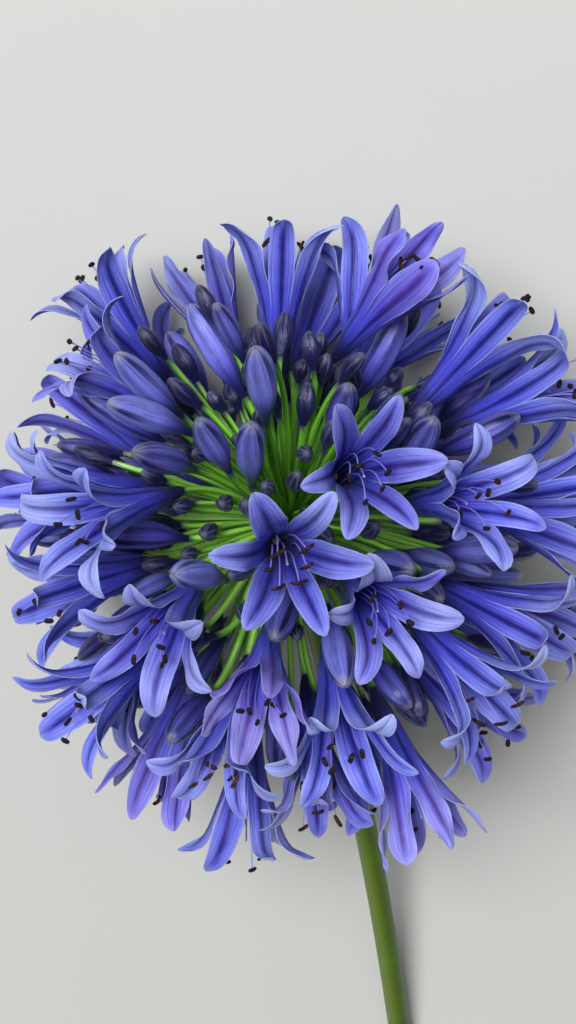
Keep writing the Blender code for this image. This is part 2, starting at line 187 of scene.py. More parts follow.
# How tepals and florets differ from one another, in curl, waves, twist, bend, tone, warmth and the painted
# highlight on their curled ends
BLOOM_SEED = 640
TEPAL_CURLS = (12.0, 20.0, 28.0, 38.0, 52.0, 80.0)
CURL_FROM = 0.55
CURL_POWER = 1.5
# A painted highlight on curled tepal ends: the curls over which it grows, its strength, and its share on the
# back face
HIGHLIGHT_CURLS = (math.radians(24.0), math.radians(60.0))
CURL_HIGHLIGHT = (0.35, 0.85)
BACK_HIGHLIGHT = 0.6
WAVE_HEIGHTS = (0.25, 1.0)
WAVE_COUNTS = (1.2, 2.3)
WAVE_POWER = 2.5
WAVE_RISE = (0.1, 0.6)
TEPAL_TWIST = 0.16
TEPAL_BEND = 0.0011
TEPAL_TONES = (-0.05, 0.06)
TONE_REACH = 1.0 / 3.0
FLORET_TONE = 0.10
CRUMPLED_CURL = (25.0, 75.0)
CRUMPLED_WAVE = 1.7
CRUMPLED_TWIST = 2.0
CRUMPLED_WARMTH = (0.22, 0.62)
WARMTHS = (0.0, 0.0, 0.02, 0.05, 0.12)
WARMTH_RISE = (0.3, 0.8)
PLACE_TOLERANCE = 0.009

# Stamens and style, in the floret's own frame; rust and the anthers' sizes are the stale ones' first
FILAMENT_START = (0.0030, 0.012)
FILAMENT_STEPS = 12
FILAMENT_SIDES = 6
FILAMENT_RADII = (0.00031, 0.00023)
FILAMENT_HEIGHT = (0.039, 0.053)
FILAMENT_SPLAY = (0.0022, 0.0066)
FILAMENT_DRAW_IN = 0.35
FILAMENT_SPLAY_POWER = 2.2
FILAMENT_SCATTER = 0.12
FILAMENT_SAG = 0.0038
FILAMENT_RISE = 0.0085
HANGING_EASE = 0.25
FRESH_SHARE = 0.45
RUST = ((0.0, 0.3), (0.5, 1.0))
ANTHER_LENGTHS = ((0.0026, 0.0037), (0.0044, 0.0060))
ANTHER_RADII = (0.00074, 0.00064)
ANTHER_END_RADIUS = 0.00008
ANTHER_STEPS = 9
ANTHER_SIDES = 10
ANTHER_LOBES = 0.16
ANTHER_LEAN = (-0.2, 0.9)
ANTHER_ARCH = 0.12
STYLE_START = 0.006
STYLE_HEIGHT = (0.036, 0.047)
STYLE_RADIUS = 0.00028
STYLE_SAG = 0.8
STIGMA_FROM = 0.97
STIGMA_SWELL = 0.6
STAMEN_REST = 0.0007
STAMEN_ROOM = (0.0008, 0.0024)
KEEL_SHARES = np.linspace(0.0, 1.0, 24)

# Fine buds, by kind where they differ
BUD_SIDES = {"bud": 42, "middling": 36, "young": 24}
BUD_ROWS = {"bud": 26, "middling": 22, "young": 16}
BUD_FOOT = {"bud": 0.25, "middling": 0.30, "young": 0.40}
BUD_CLOSES_FROM = {"bud": 0.66, "middling": 0.60, "young": 0.52}
BUD_GIRTH = {"bud": 0.97, "middling": 0.82, "young": 0.95}
BUD_GROOVE = {"bud": 0.085, "middling": 0.105, "young": 0.15}
OUTER_TEPAL_LIFT = {"bud": 0.022, "middling": 0.035, "young": 0.060}
BUD_FULL_FROM = 0.50
BUD_FOOT_POWER = 0.75
BUD_ROW_CROWDING = 1.5
BUD_TIP_POWERS = (2.0, 0.58)
BUD_TIP_CLOSING = 0.995
BUD_RIBS_BY = 0.25
BUD_SEAM = -0.25
BUD_BEND = 0.0011 / 0.03
BUD_BENDS = (0.3, 1.0)
BUD_TONE = 0.20
YOUTH_LENGTHS = (0.018, 0.032)
YOUTH_SPREAD = (0.93, 1.0)
RIPENESS = (0.0, 0.1, 0.35, 0.6, 0.85)

# Fine stalks and stem. Their painted lit sides, made paler as painted light, look along a direction in the
# head's own frame
STALK_RADIUS = {"bloom": 0.00118, "bud": 0.00114, "middling": 0.00098, "young": 0.00086}
STALK_ROOT_SWELL = 0.66
STALK_FULL_FROM = 0.60
STALK_TOP_SWELL = 1.12
STALK_TOP_FROM = 0.85
STALK_STEPS = 15
STALK_SIDES = 12
STALK_RIDGES = 6
STALK_RIDGE = 0.05
STALK_TONE = 0.36
STALK_LIT_SIDE = (0.55, 0.25, 0.80)
STEM_LIT_SIDE = (-0.80, -0.45, 0.0)
STEM_SIDES = 28
STEM_STEPS = 44
STEM_OVAL = 0.035
STEM_OVAL_TURN = 0.6
CUT_BEVEL = 0.0006

# Pieces of many buds or stalks: how many, and the first one's seed; edges past the angle stay sharp
GROUPS = {"large_buds": (5, 740), "young_buds": (4, 840), "stalks": (3, 940)}
SHARP_EDGE = math.radians(50.0)

# The stage: the surface and its shade, the lights, the surroundings and the camera's aim
SURFACE_RADIUS = 15.0
SURFACE_SIDES = 96
SHADE_CENTRE = (0.1, -1.10, 0.0)
SHADE_REACH = (0.50, 1.90)
SHADE_DEPTH = 0.80
KEY_DIRECTION = (-0.20, 0.50, 0.84)
KEY_SOFTNESS = math.radians(24.0)
GLOW_SIZE = 1.4
GLOW_OFFSET = (0.0, 0.90, 1.50)
GLOW_AIM = (0.0, 0.20, -0.09)
HORIZON_BAND = (0.02, 0.40)
CAMERA_AIM = (0.0, 0.008, 0.0)
SENSOR_WIDTH = 36.0


# The florets and their places, by the same rule as the frame's

def ramp(value, start=0.0, end=1.0):
    """A smooth rise from 0 at the start to 1 at the end."""
    x = np.clip((value - start) / (end - start), 0.0, 1.0)
    return x * x * (3.0 - 2.0 * x)


def unit(vectors):
    """Vectors of length 1 along the given ones."""
    return vectors / np.linalg.norm(vectors, axis=-1, keepdims=True)


def tepal_keel(opening, shares, curl=0.0):
    """Radii, heights and leans at shares of a tepal's midline; the curl bends its end back further."""
    step = TEPAL_LENGTH / KEEL_STEPS
    share = np.arange(KEEL_STEPS + 1) / KEEL_STEPS
    bend = np.maximum(0.0, share - RECURVE_FROM) / (1.0 - RECURVE_FROM)
    lean = TEPAL_START_LEAN + opening * (TEPAL_SPREAD * share + TEPAL_RECURVE * bend * bend)
    lean = lean + curl * np.maximum(0.0, (share - CURL_FROM) / (1.0 - CURL_FROM)) ** CURL_POWER
    radius = TUBE_MOUTH_RADIUS + np.concatenate(((0.0,), np.cumsum(np.sin(lean[:-1]) * step)))
    height = TUBE_LENGTH + np.concatenate(((0.0,), np.cumsum(np.cos(lean[:-1]) * step)))
    return np.interp(shares, share, radius), np.interp(shares, share, height), np.interp(shares, share, lean)


def bud_radius(length):
    """Buds fatten as they lengthen, up to a limit."""
    return min(BUD_RADIUS, BUD_RADIUS_START + BUD_RADIUS_GROWTH * length)


def stalk_point(root_direction, base, axis, share):
    """Points on stalks, round the umbel's centre, from inside the knob to the floret's foot."""
    root = root_direction * KNOB_RADIUS * STALK_ROOT_DEPTH
    length = np.linalg.norm(base - root, axis=-1, keepdims=True)
    first = root + root_direction * length * STALK_START_PULL
    last = base - axis * length * STALK_END_PULL
    rest = 1.0 - share
    return rest ** 3 * root + 3 * rest ** 2 * share * first + 3 * rest * share ** 2 * last + share ** 3 * base


class Floret:
    """One floret's own draw: how it grows, how large it is and how far each tepal has opened."""

    def __init__(self, kind, direction, rng):
        self.kind = kind
        self.direction = direction
        self.reach = rng.uniform(*STALK_LENGTH[kind]) * (1.0 + HEAD_LENGTHENING * direction[1] ** 2)
        self.stray = np.array([rng.gauss(0.0, WAYWARDNESS) for _ in range(3)])
        self.roll = rng.uniform(0.0, math.tau)
        self.size = rng.uniform(*BLOOM_SIZE)
        opening = rng.uniform(*BLOOM_OPENING)
        self.openings = [opening * rng.uniform(*TEPAL_VARIATION) for _ in range(TEPALS)]
        self.length = rng.uniform(*BUD_LENGTH[kind])

    def balls(self):
        """Balls (x, y, z, radius) that fill the floret, in its own frame with its foot at the origin."""
        if self.kind != "bloom":
            radius = bud_radius(self.length)
            return [(0.0, 0.0, along * self.length, swell * radius) for along, swell in BUD_BALLS[self.kind]]
        balls = [(0.0, 0.0, height, radius) for height, radius in TUBE_BALLS]
        shares = [round(share * KEEL_STEPS) / KEEL_STEPS for share, _ in TEPAL_BALLS]
        for j, opening in enumerate(self.openings):
            angle = math.tau * j / TEPALS
            rings, heights, _ = tepal_keel(opening, shares)
            for ring, height, (_, radius) in zip(rings, heights, TEPAL_BALLS):
                balls.append((ring * math.cos(angle), ring * math.sin(angle), height, radius))
        return [tuple(self.size * value for value in ball) for ball in balls]


def head_frame():
    """Columns are the head's own x, y and axis in world directions."""
    axis = Vector((0.0, math.cos(HEAD_RISE), math.sin(HEAD_RISE)))
    side = Vector((1.0, 0.0, 0.0))
    return np.array(Matrix((side, axis.cross(side), axis)).transposed())


HEAD = head_frame()


def band_directions(count, band, turn):
    """Directions spread evenly by a spiral between two angles from the head's top."""
    high, low = (math.cos(math.radians(angle)) for angle in band)
    for i in range(count):
        z = high + (low - high) * (i + 0.5) / count
        ring = math.sqrt(1.0 - z * z)
        angle = turn + i * GOLDEN_ANGLE
        yield np.array((ring * math.cos(angle), ring * math.sin(angle), z))


def floret_frame(direction, roll):
    """Columns of a floret's frame, its axis along the direction."""
    return np.array(Vector(direction).to_track_quat("Z", "Y").to_matrix() @ Matrix.Rotation(roll, 3, "Z"))


def turned(frames, twist):
    """Turns each frame by its own small rotation vector."""
    angle = np.linalg.norm(twist, axis=1)
    x, y, z = (twist / np.maximum(angle, TOUCH)[:, None]).T
    zero = np.zeros(len(x))
    cross = np.array(((zero, -z, y), (z, zero, -x), (-y, x, zero))).transpose(2, 0, 1)
    s, c = np.sin(angle)[:, None, None], np.cos(angle)[:, None, None]
    return (np.eye(3) + s * cross + (1.0 - c) * (cross @ cross)) @ frames


def nearby_pairs(points, sizes, owners, is_stalk):
    """Pairs of balls of different florets close enough to meet soon; stalks may cross each other."""
    square = (points ** 2).sum(1)
    distance = np.sqrt(np.maximum(square[:, None] + square[None, :] - 2.0 * points @ points.T, 0.0))
    close = distance < sizes[:, None] + sizes[None, :] + PAIR_REACH
    close &= owners[:, None] < owners[None, :]
    close &= ~(is_stalk[:, None] & is_stalk[None, :])
    return np.nonzero(close)


def pushes_apart(points, sizes, pairs):
    """The push on each ball from the balls of other florets that it overlaps."""
    push = np.zeros_like(points)
    a, b = pairs
    apart = points[b] - points[a]
    distance = np.linalg.norm(apart, axis=1)
    overlap = sizes[a] + sizes[b] + CLEARANCE - distance
    hit = overlap > 0.0
    shove = apart[hit] / distance[hit, None] * (0.5 * overlap[hit, None])
    np.add.at(push, a[hit], -shove)
    np.add.at(push, b[hit], shove)
    return push


def pushes_off_stem(points, sizes, axis):
    """The push that keeps balls clear of the stem below the knob."""
    along = points @ axis
    across = points - along[:, None] * axis
    distance = np.linalg.norm(across, axis=1) + TOUCH
    depth = STEM_RADIUS + STEM_ROOM + sizes - distance
    depth = np.where((along < 0.0) & (depth > 0.0), depth, 0.0)
    return across / distance[:, None] * depth[:, None]


def settled_florets():
    """All florets, pushed by each other, the stem and the surface until none of them touch.

    A floret is a rigid body hung at its foot: a push slides the foot and turns the floret about it, while
    the stalk's length, place and lean drift back to what they grew as, less and less each round.
    """
    rng = random.Random(SEED)
    florets = [Floret(kind, HEAD @ direction, rng)
               for kind, count, band, turn in GROWTH for direction in band_directions(count, band, turn)]
    count = len(florets)
    home = np.array([flower.direction for flower in florets])
    reach = np.array([flower.reach for flower in florets])[:, None]
    lean = np.array([flower.stray for flower in florets]) - SAG * HEAD[:, 2]
    roots = unit(home + STALK_LIFT * HEAD[:, 2])
    base = home * reach
    frames = np.array([floret_frame(home[i] + lean[i], florets[i].roll) for i in range(count)])

    filling = np.array([(i, *ball) for i, flower in enumerate(florets) for ball in flower.balls()])
    owner, spot, size = filling[:, 0].astype(int), filling[:, 1:4], filling[:, 4]
    stalk_share = np.repeat(STALK_BALLS, count)[:, None]
    stalk_owner = np.tile(np.arange(count), len(STALK_BALLS))
    owners = np.concatenate((owner, stalk_owner))
    sizes = np.concatenate((size, np.full(len(stalk_owner), STALK_BALL_RADIUS * STALK_BALL_SWELL)))
    is_stalk = np.arange(len(owners)) >= len(owner)
    yields = np.array([florets[i].kind == "bloom" for i in owners]) & ~is_stalk
    lowest = sizes * np.where(yields, BLOOM_STANDOFF, BUD_STANDOFF) - UMBEL_CENTRE[2]

    def per_floret(values):
        return np.stack([np.bincount(owners, weights=column, minlength=count) for column in values.T], 1)

    for turn in range(SETTLING_ROUNDS):
        drift = max(0.0, 1.0 - turn / (DRIFT_SHARE * SETTLING_ROUNDS))
        axes = frames[:, :, 2]
        filled = base[owner] + np.einsum("nij,nj->ni", frames[owner], spot)
        stalks = stalk_point(roots[stalk_owner], base[stalk_owner], axes[stalk_owner], stalk_share)
        points = np.concatenate((filled, stalks))
        if turn % PAIR_ROUNDS == 0:
            pairs = nearby_pairs(points, sizes, owners, is_stalk)
        push = pushes_apart(points, sizes, pairs) + pushes_off_stem(points, sizes, HEAD[:, 2])
        push[:, 2] += np.maximum(lowest - points[:, 2], 0.0)
        pushed = (np.linalg.norm(push, axis=1, keepdims=True) > TOUCH).astype(float)
        turning = pushed * ~is_stalk[:, None]
        arms = points - base[owners]

        base = base + PUSH_ANSWER * per_floret(push) / (per_floret(pushed) + 0.5)
        distance = np.linalg.norm(base, axis=1, keepdims=True)
        length = distance + LENGTH_RETURN * drift * (reach - distance)
        outward = unit(base / distance + PLACE_RETURN * drift * home)
        base = outward * np.clip(length, STALK_GIVE[0] * reach, STALK_GIVE[1] * reach)

        inertia = per_floret(turning * (arms ** 2).sum(1, keepdims=True)) + TURN_STIFFNESS
        twist = PUSH_ANSWER * per_floret(turning * np.cross(arms, push)) / inertia
        frames = turned(frames, twist + AXIS_RETURN * drift * np.cross(axes, outward + lean))

    for i, flower in enumerate(florets):
        flower.base = np.round(base[i], 6)
        flower.frame = np.round(frames[i], 6)
        flower.root = roots[i]
    return florets


def filling_of(flower):
    """Points and sizes of the balls that fill a floret and the outer part of its stalk."""
    balls = np.array(flower.balls())
    shares = np.array(EXTRA_STALK_SHARES)[:, None]
    stalk = stalk_point(flower.root, flower.base, flower.frame[:, 2], shares)
    points = np.concatenate((flower.base + balls[:, :3] @ flower.frame.T, stalk))
    return points, np.concatenate((balls[:, 3], np.full(len(stalk), STALK_BALL_RADIUS)))


def room_round(points, sizes, others, other_sizes):
    """The least gap from the balls to the others and to the surface."""
    apart = np.linalg.norm(points[:, None] - others[None], axis=2) - sizes[:, None] - other_sizes[None]
    return min(apart.min(), (points[:, 2] + UMBEL_CENTRE[2] - sizes).min())


def extra_buds(florets):
    """More buds on stalks of their own, each at the first draw that is clear of all that grow already."""
    rng = random.Random(EXTRA_SEED)
    filled = [filling_of(flower) for flower in florets]
    points, sizes = (np.concatenate(parts) for parts in zip(*filled))
    buds = []
    for kind, count, widest in EXTRA_BUDS:
        lowest = math.cos(math.radians(widest))
        for _ in range(count):
            for _ in range(EXTRA_TRIES):
                z, angle = rng.uniform(lowest, 1.0), rng.uniform(0.0, math.tau)
                ring = math.sqrt(1.0 - z * z)
                bud = Floret(kind, HEAD @ np.array((ring * math.cos(angle), ring * math.sin(angle), z)), rng)
                bud.base = bud.direction * bud.reach * EXTRA_REACH
                bud.frame = floret_frame(bud.direction + EXTRA_LEAN * bud.stray / WAYWARDNESS, bud.roll)
                bud.root = unit(bud.direction + STALK_LIFT * HEAD[:, 2])
                filling = filling_of(bud)
                if room_round(*filling, points, sizes) > EXTRA_ROOM:
                    buds.append(bud)
                    points = np.concatenate((points, filling[0]))
                    sizes = np.concatenate((sizes, filling[1]))
                    break
    return buds


FLORETS = settled_florets()
EXTRAS = extra_buds(FLORETS)


# Gathering points and faces into pieces

# The "pale" numbers hold a painted highlight on curled tepal ends, the buds' ripeness, and the painted light
# on the lit sides of stalks and stem
CHANNELS = ("middle", "back", "tone", "warmth", "youth", "pale")


def added(name, data):
    """A new object in the scene."""
    thing = bpy.data.objects.new(name, data)
    bpy.context.scene.collection.objects.link(thing)
    return thing


class Draft:
    """Points and faces gathered for one piece, with a finish for each face and named numbers for each point.

    The grain is a direction round the form and the share along it, so that a pattern along it has no seam.
    """

    def __init__(self):
        self.points, self.grain, self.faces, self.finishes = [], [], [], []
        self.channels = {name: [] for name in CHANNELS}
        self.count = 0

    def add(self, points, faces, grain, finish=0, **channels):
        self.points.append(points)
        self.grain.append(grain)
        for name, values in self.channels.items():
            values.append(np.broadcast_to(channels.get(name, 0.0), len(points)))
        for group in faces:
            self.faces += (group + self.count).tolist()
            self.finishes += [finish] * len(group)
        self.count += len(points)

    def piece(self, name, materials, slot, *nodes):
        """The piece itself, smooth but for its sharp rims, standing for the frame's nodes."""
        mesh = bpy.data.meshes.new(name)
        mesh.from_pydata(np.concatenate(self.points), [], self.faces)
        for material in materials:
            mesh.materials.append(material)
        mesh.polygons.foreach_set("material_index", self.finishes)
        grain = mesh.attributes.new("grain", "FLOAT_VECTOR", "POINT")
        grain.data.foreach_set("vector", np.concatenate(self.grain).ravel())
        for channel, values in self.channels.items():
            numbers = mesh.attributes.new(channel, "FLOAT", "POINT")
            numbers.data.foreach_set("value", np.concatenate(values))
        mesh.shade_smooth()
        mesh.set_sharp_from_angle(angle=SHARP_EDGE)
        thing = added(name, mesh)
        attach(thing, "root")
        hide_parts(*nodes)
        return thing


def ring_faces(rows, sides):
    """Quads of a tube of rings of points."""
    row = np.arange(rows - 1)[:, None] * sides
    k = np.arange(sides)[None, :]
    after = (k + 1) % sides
    corners = (row + k, row + after, row + sides + after, row + sides + k)
    return np.stack(corners, -1).reshape(-1, 4)


def fan(centre, ring):
    """Triangles from a point to a ring round it."""
    return np.stack((np.full(len(ring), centre), np.roll(ring, -1), ring), -1)


def swept(path, radii, sides):
    """A closed round form along a path: points, faces and grain. Radii are one a ring, or one a point."""
    rows = len(path)
    radii = np.asarray(radii).reshape(rows, -1)
    forward = unit(np.gradient(path, axis=0))
    start = np.array(Vector(forward[0]).orthogonal().normalized())
    frames = []
    for direction in forward:
        start = unit(start - direction * (start @ direction))
        frames.append((start, np.cross(direction, start)))
    k = np.arange(sides)
    angle = math.tau * k / sides
    circle = np.stack((np.cos(angle), np.sin(angle)), -1)
    spokes = np.einsum("sk,rkx->rsx", circle, np.array(frames))
    points = (path[:, None, :] + radii[:, :, None] * spokes).reshape(-1, 3)
    points = np.concatenate((points, path[:1], path[-1:]))
    low = rows * sides
    faces = (ring_faces(rows, sides), fan(low, k), fan(low + 1, low - sides + k)[:, ::-1])
    along = np.repeat(np.linspace(0.0, 1.0, rows), sides)[:, None]
    grain = np.concatenate((np.tile(circle, (rows, 1)), along), 1)
    return points, faces, np.concatenate((grain, ((0.0, 0.0, 0.0), (0.0, 0.0, 1.0))))


def into_world(points, flower):
    """A floret's own points in the world."""
    return np.array(UMBEL_CENTRE) + flower.base + points @ flower.frame.T


# Finishes

class Nodes:
    """Makes the nodes of one tree. What goes into one is a socket, a number, a vector or a colour."""

    def __init__(self, tree):
        self.tree = tree

    def new(self, kind, **settings):
        node = self.tree.nodes.new("ShaderNode" + kind)
        for name, value in settings.items():
            setattr(node, name, value)
        return node

    def put(self, value, socket):
        """Joins a socket to another, or sets it to a plain value."""
        if isinstance(value, bpy.types.NodeSocket):
            self.tree.links.new(value, socket)
        elif socket.type == "RGBA":
            socket.default_value = (*value, 1.0)
        else:
            socket.default_value = value

    def part(self, vector, axis):
        node = self.new("SeparateXYZ")
        self.put(vector, node.inputs[0])
        return node.outputs[axis]

    def calc(self, operation, *values):
        node = self.new("Math", operation=operation)
        for value, socket in zip(values, node.inputs):
            self.put(value, socket)
        return node.outputs[0]

    def line(self, value, slope, start):
        """A straight line's height over the value."""
        return self.calc("MULTIPLY_ADD", value, slope, start)

    def times(self, first, *others):
        for other in others:
            first = self.calc("MULTIPLY", first, other)
        return first

    def fade(self, value, start, end, low=0.0, high=1.0):
        """A smooth step from low to high as the value goes from start to end."""
        node = self.new("MapRange", interpolation_type="SMOOTHSTEP")
        for socket, number in zip(node.inputs, (value, start, end, low, high)):
            self.put(number, socket)
        return node.outputs[0]

    def mixed(self, factor, below, above, label=""):
        """A colour between two others."""
        node = self.new("Mix", data_type="RGBA", label=label)
        self.put(factor, node.inputs["Factor"])
        self.put(below, node.inputs[6])
        self.put(above, node.inputs[7])
        return node.outputs[2]

    def speckle(self, vector, stretch, detail):
        """Noise over a vector, finer along the axes with the larger stretch."""
        scale = self.new("VectorMath", operation="MULTIPLY")
        self.put(vector, scale.inputs[0])
        self.put(stretch, scale.inputs[1])
        node = self.new("TexNoise")
        self.put(scale.outputs[0], node.inputs["Vector"])
        self.put(1.0, node.inputs["Scale"])
        self.put(detail, node.inputs["Detail"])
        return node.outputs["Fac"]


class Finish(Nodes):
    """A material whose colour is laid on in layers, each over the ones before it."""

    def __init__(self, name, roughness, colour):
        self.material = bpy.data.materials.new(name)
        self.material.use_nodes = True
        super().__init__(self.material.node_tree)
        self.shader = self.tree.nodes["Principled BSDF"]
        self.set({"Roughness": roughness})
        self.colour = colour

    def set(self, sockets):
        for name, value in sockets.items():
            self.put(value, self.shader.inputs[name])

    def number(self, name, output="Fac"):
        """A number, or a vector, that the piece's points carry."""
        return self.new("Attribute", attribute_name=name).outputs[output]

    def grain(self, axis):
        """A part of the grain: X and Y are the direction round the form, Z is the share along it."""
        return self.part(self.number("grain", "Vector"), axis)

    def grain_noise(self, across, along, detail=3.0):
        return self.speckle(self.number("grain", "Vector"), (across, across, along), detail)

    def place_noise(self, scale, detail=2.0):
        return self.speckle(self.new("TexCoord").outputs["Object"], (scale, scale, scale), detail)

    def lay(self, label, colour, *shares):
        """Lays a colour on by the product of its shares. Each is a socket, a number or a fade's values."""
        shares = [self.fade(*share) if isinstance(share, tuple) else share for share in shares]
        self.colour = self.mixed(self.times(*shares), self.colour, colour, label)

    def brighten(self, value):
        """Scales how light the colour is."""
        node = self.new("HueSaturation")
        self.put(value, node.inputs["Value"])
        self.put(self.colour, node.inputs["Color"])
        self.colour = node.outputs[0]

    def vary(self, noise, slope, start):
        """Makes the colour lighter and darker by a noise and by each point's own tone."""
        self.brighten(self.calc("ADD", self.number("tone"), self.line(noise, slope, start)))

    def relief(self, height, distance, strength):
        node = self.new("Bump")
        self.put(height, node.inputs["Height"])
        self.put(distance, node.inputs["Distance"])
        self.put(strength, node.inputs["Strength"])
        self.set({"Normal": node.outputs[0]})

    def let_light_in(self, weight, radius, scale):
        self.set({"Subsurface Weight": weight, "Subsurface Radius": radius, "Subsurface Scale": scale})

    def done(self, sockets):
        """The material, with its colour and the shader's other sockets joined."""
        self.set({"Base Color": self.colour})
        self.set(sockets)
        return self.material


BLUE_SHEEN = (0.62, 0.68, 1.0)
GREEN_DEPTHS = (0.4, 1.0, 0.2)


def petal_finish(look):
    """Violet petals with a dark middle line, fine veins, pale margins, a near-black foot, painted shade in
    the throat and a painted highlight on curled ends.
    """
    petal = Finish("petal_violet", look.roughness, look.flank)
    along = petal.grain("Z")
    middle = petal.number("middle")
    veins = petal.grain_noise(38.0, 2.4)
    crinkle = petal.grain_noise(9.0, 11.0)
    mottle = petal.place_noise(160.0)
    wander = petal.calc("SUBTRACT", mottle, 0.5)
    wobble = petal.line(wander, 0.16, middle)
    ribs = petal.calc("COSINE", petal.times(petal.line(wander, 0.07, middle), math.tau * VEINS_A_SIDE))
    # Painted highlight: curled tepal ends are painted paler, and their ribs and middle line fainter
    pale = petal.times(petal.number("pale"), petal.fade(along, 0.52, 0.82))
    petal.lay("Light end", look.light, (along, 0.32, 0.90))
    petal.lay("Deep middle", look.flank, (wobble, 0.75, 0.20, 0.0, 0.55))
    # Painted highlight laid on the curled ends
    petal.lay("Pale curled end", look.margin, pale)
    petal.lay("Dark veins", look.line, (veins, 0.45, 0.70, 0.0, 0.28))
    petal.lay("Pale veins", look.margin, (veins, 0.50, 0.28, 0.0, 0.20))
    petal.lay("Ribs", look.line, (ribs, 0.30, 0.98), (veins, 0.36, 0.62, 0.12, 0.46),
              petal.line(pale, -0.6, 1.0))
    petal.lay("Middle line", look.line, (wobble, 0.32, 0.04), (along, 0.98, 0.84),
              petal.line(pale, -0.45, 0.92))
    petal.lay("Margins", look.margin, (middle, 0.89, 0.99), (along, 0.36, 0.50), 0.62)
    petal.lay("Tip", look.margin, (along, 0.93, 1.0, 0.0, 0.45))
    # Painted shade deep inside the tube, on its inner face, darkest towards the foot
    petal.lay("Throat", look.line, (along, 0.50, 0.22), (petal.number("back"), 1.0, 0.0), 0.85)
    petal.lay("Foot", look.foot, (petal.line(mottle, 0.06, along), 0.39, 0.10))
    petal.lay("Blush", look.blush, petal.number("warmth"))
    petal.vary(mottle, 0.16, 0.92)
    petal.relief(petal.line(crinkle, 2.2, veins), 0.00026, 0.8)
    petal.let_light_in(0.14, (0.4, 0.35, 1.0), 0.0012)
    return petal.done({"Specular IOR Level": 0.30, "Specular Tint": (0.60, 0.66, 1.0),
                       "Sheen Weight": look.sheen, "Sheen Roughness": 0.45, "Sheen Tint": BLUE_SHEEN})


def filament_finish(look):
    """Lilac, as deep as the petals at the foot."""
    filament = Finish("filament_lilac", 0.45, look.flank)
    filament.lay("Lilac end", look.filament, (filament.grain("Z"), 0.1, 0.9))
    filament.let_light_in(0.2, (0.6, 0.4, 1.0), 0.0008)
    return filament.done({})


def anther_finish(look):
    """Near-black brown with rusty pollen, more of it on fresh anthers."""
    anther = Finish("anther_brown", 0.75, look.anther)
    grains = anther.place_noise(1500.0, 3.0)
    anther.lay("Pollen", look.pollen, (anther.line(anther.number("warmth"), 0.14, grains), 0.56, 0.74))
    anther.relief(grains, 0.0003, 0.8)
    return anther.done({"Specular IOR Level": 0.2})


def bud_finish(look):
    """Violet buds with dark keels, wedges and foot and pale seams; in youth dark, with pale creases."""
    bud = Finish("bud_violet", look.roughness, look.body)
    along = bud.grain("Z")
    youth = bud.number("youth")
    ripeness = bud.number("pale")
    unripe = bud.line(ripeness, -0.65, 1.0)
    threefold = bud.calc("COSINE", bud.times(bud.calc("ARCTAN2", bud.grain("Y"), bud.grain("X")), 3.0))
    off_seam = bud.calc("ABSOLUTE", bud.calc("SUBTRACT", threefold, BUD_SEAM))
    veins = bud.grain_noise(13.0, 2.2)
    crinkle = bud.grain_noise(5.0, 9.0)
    mottle = bud.place_noise(260.0)
    wander = bud.line(mottle, 0.20, threefold)
    bud.lay("Youth", look.young, youth)
    body = bud.colour
    bud.lay("Shoulder", look.shoulder, (along, 0.35, 0.85, 0.0, 0.5))
    bud.lay("No shoulder in youth", body, youth)
    bud.lay("Ripe", look.ripe, ripeness, (along, 0.15, 0.60))
    bud.lay("Veins", look.dark, (veins, 0.48, 0.70, 0.0, 0.45))
    bud.lay("Outer keels", look.dark, (wander, 0.82, 1.08, 0.0, 0.80), unripe)
    bud.lay("Inner keels", look.dark, (wander, -0.72, -0.90, 0.0, 0.60), unripe)
    bud.lay("Wedges", look.dark, (wander, 0.66, 1.04), (along, 0.46, 0.86, 0.0, 0.82))
    bud.lay("Seams", bud.mixed(youth, look.seam, look.crease), (off_seam, bud.line(youth, 0.22, 0.12), 0.02),
            (along, 0.30, 0.80), 0.50)
    bud.lay("Streaks", look.dark, (along, 0.64, 0.94), (veins, 0.38, 0.58, 0.25, 1.0), unripe, 0.72)
    bud.lay("Creases", look.crease, (along, 0.55, 0.95), (veins, 0.54, 0.66, 0.0, 0.70), youth)
    bud.lay("Rays", bud.mixed(youth, look.tip, look.crease), (bud.line(mottle, 0.08, along), 0.93, 1.06),
            (veins, 0.56, 0.40, 0.15, 0.85))
    bud.lay("Point", look.point, (along, 0.993, 1.0, 0.0, 0.7))
    bud.lay("Foot", look.dark, (along, 0.42, 0.06))
    bud.vary(mottle, 0.3, 0.85)
    bud.relief(bud.line(crinkle, 1.6, veins), 0.00025, 0.7)
    bud.let_light_in(0.10, (0.5, 0.4, 1.0), 0.0012)
    return bud.done({"Specular IOR Level": 0.5, "Specular Tint": (0.66, 0.70, 1.0),
                     "Sheen Weight": look.sheen, "Sheen Tint": BLUE_SHEEN})


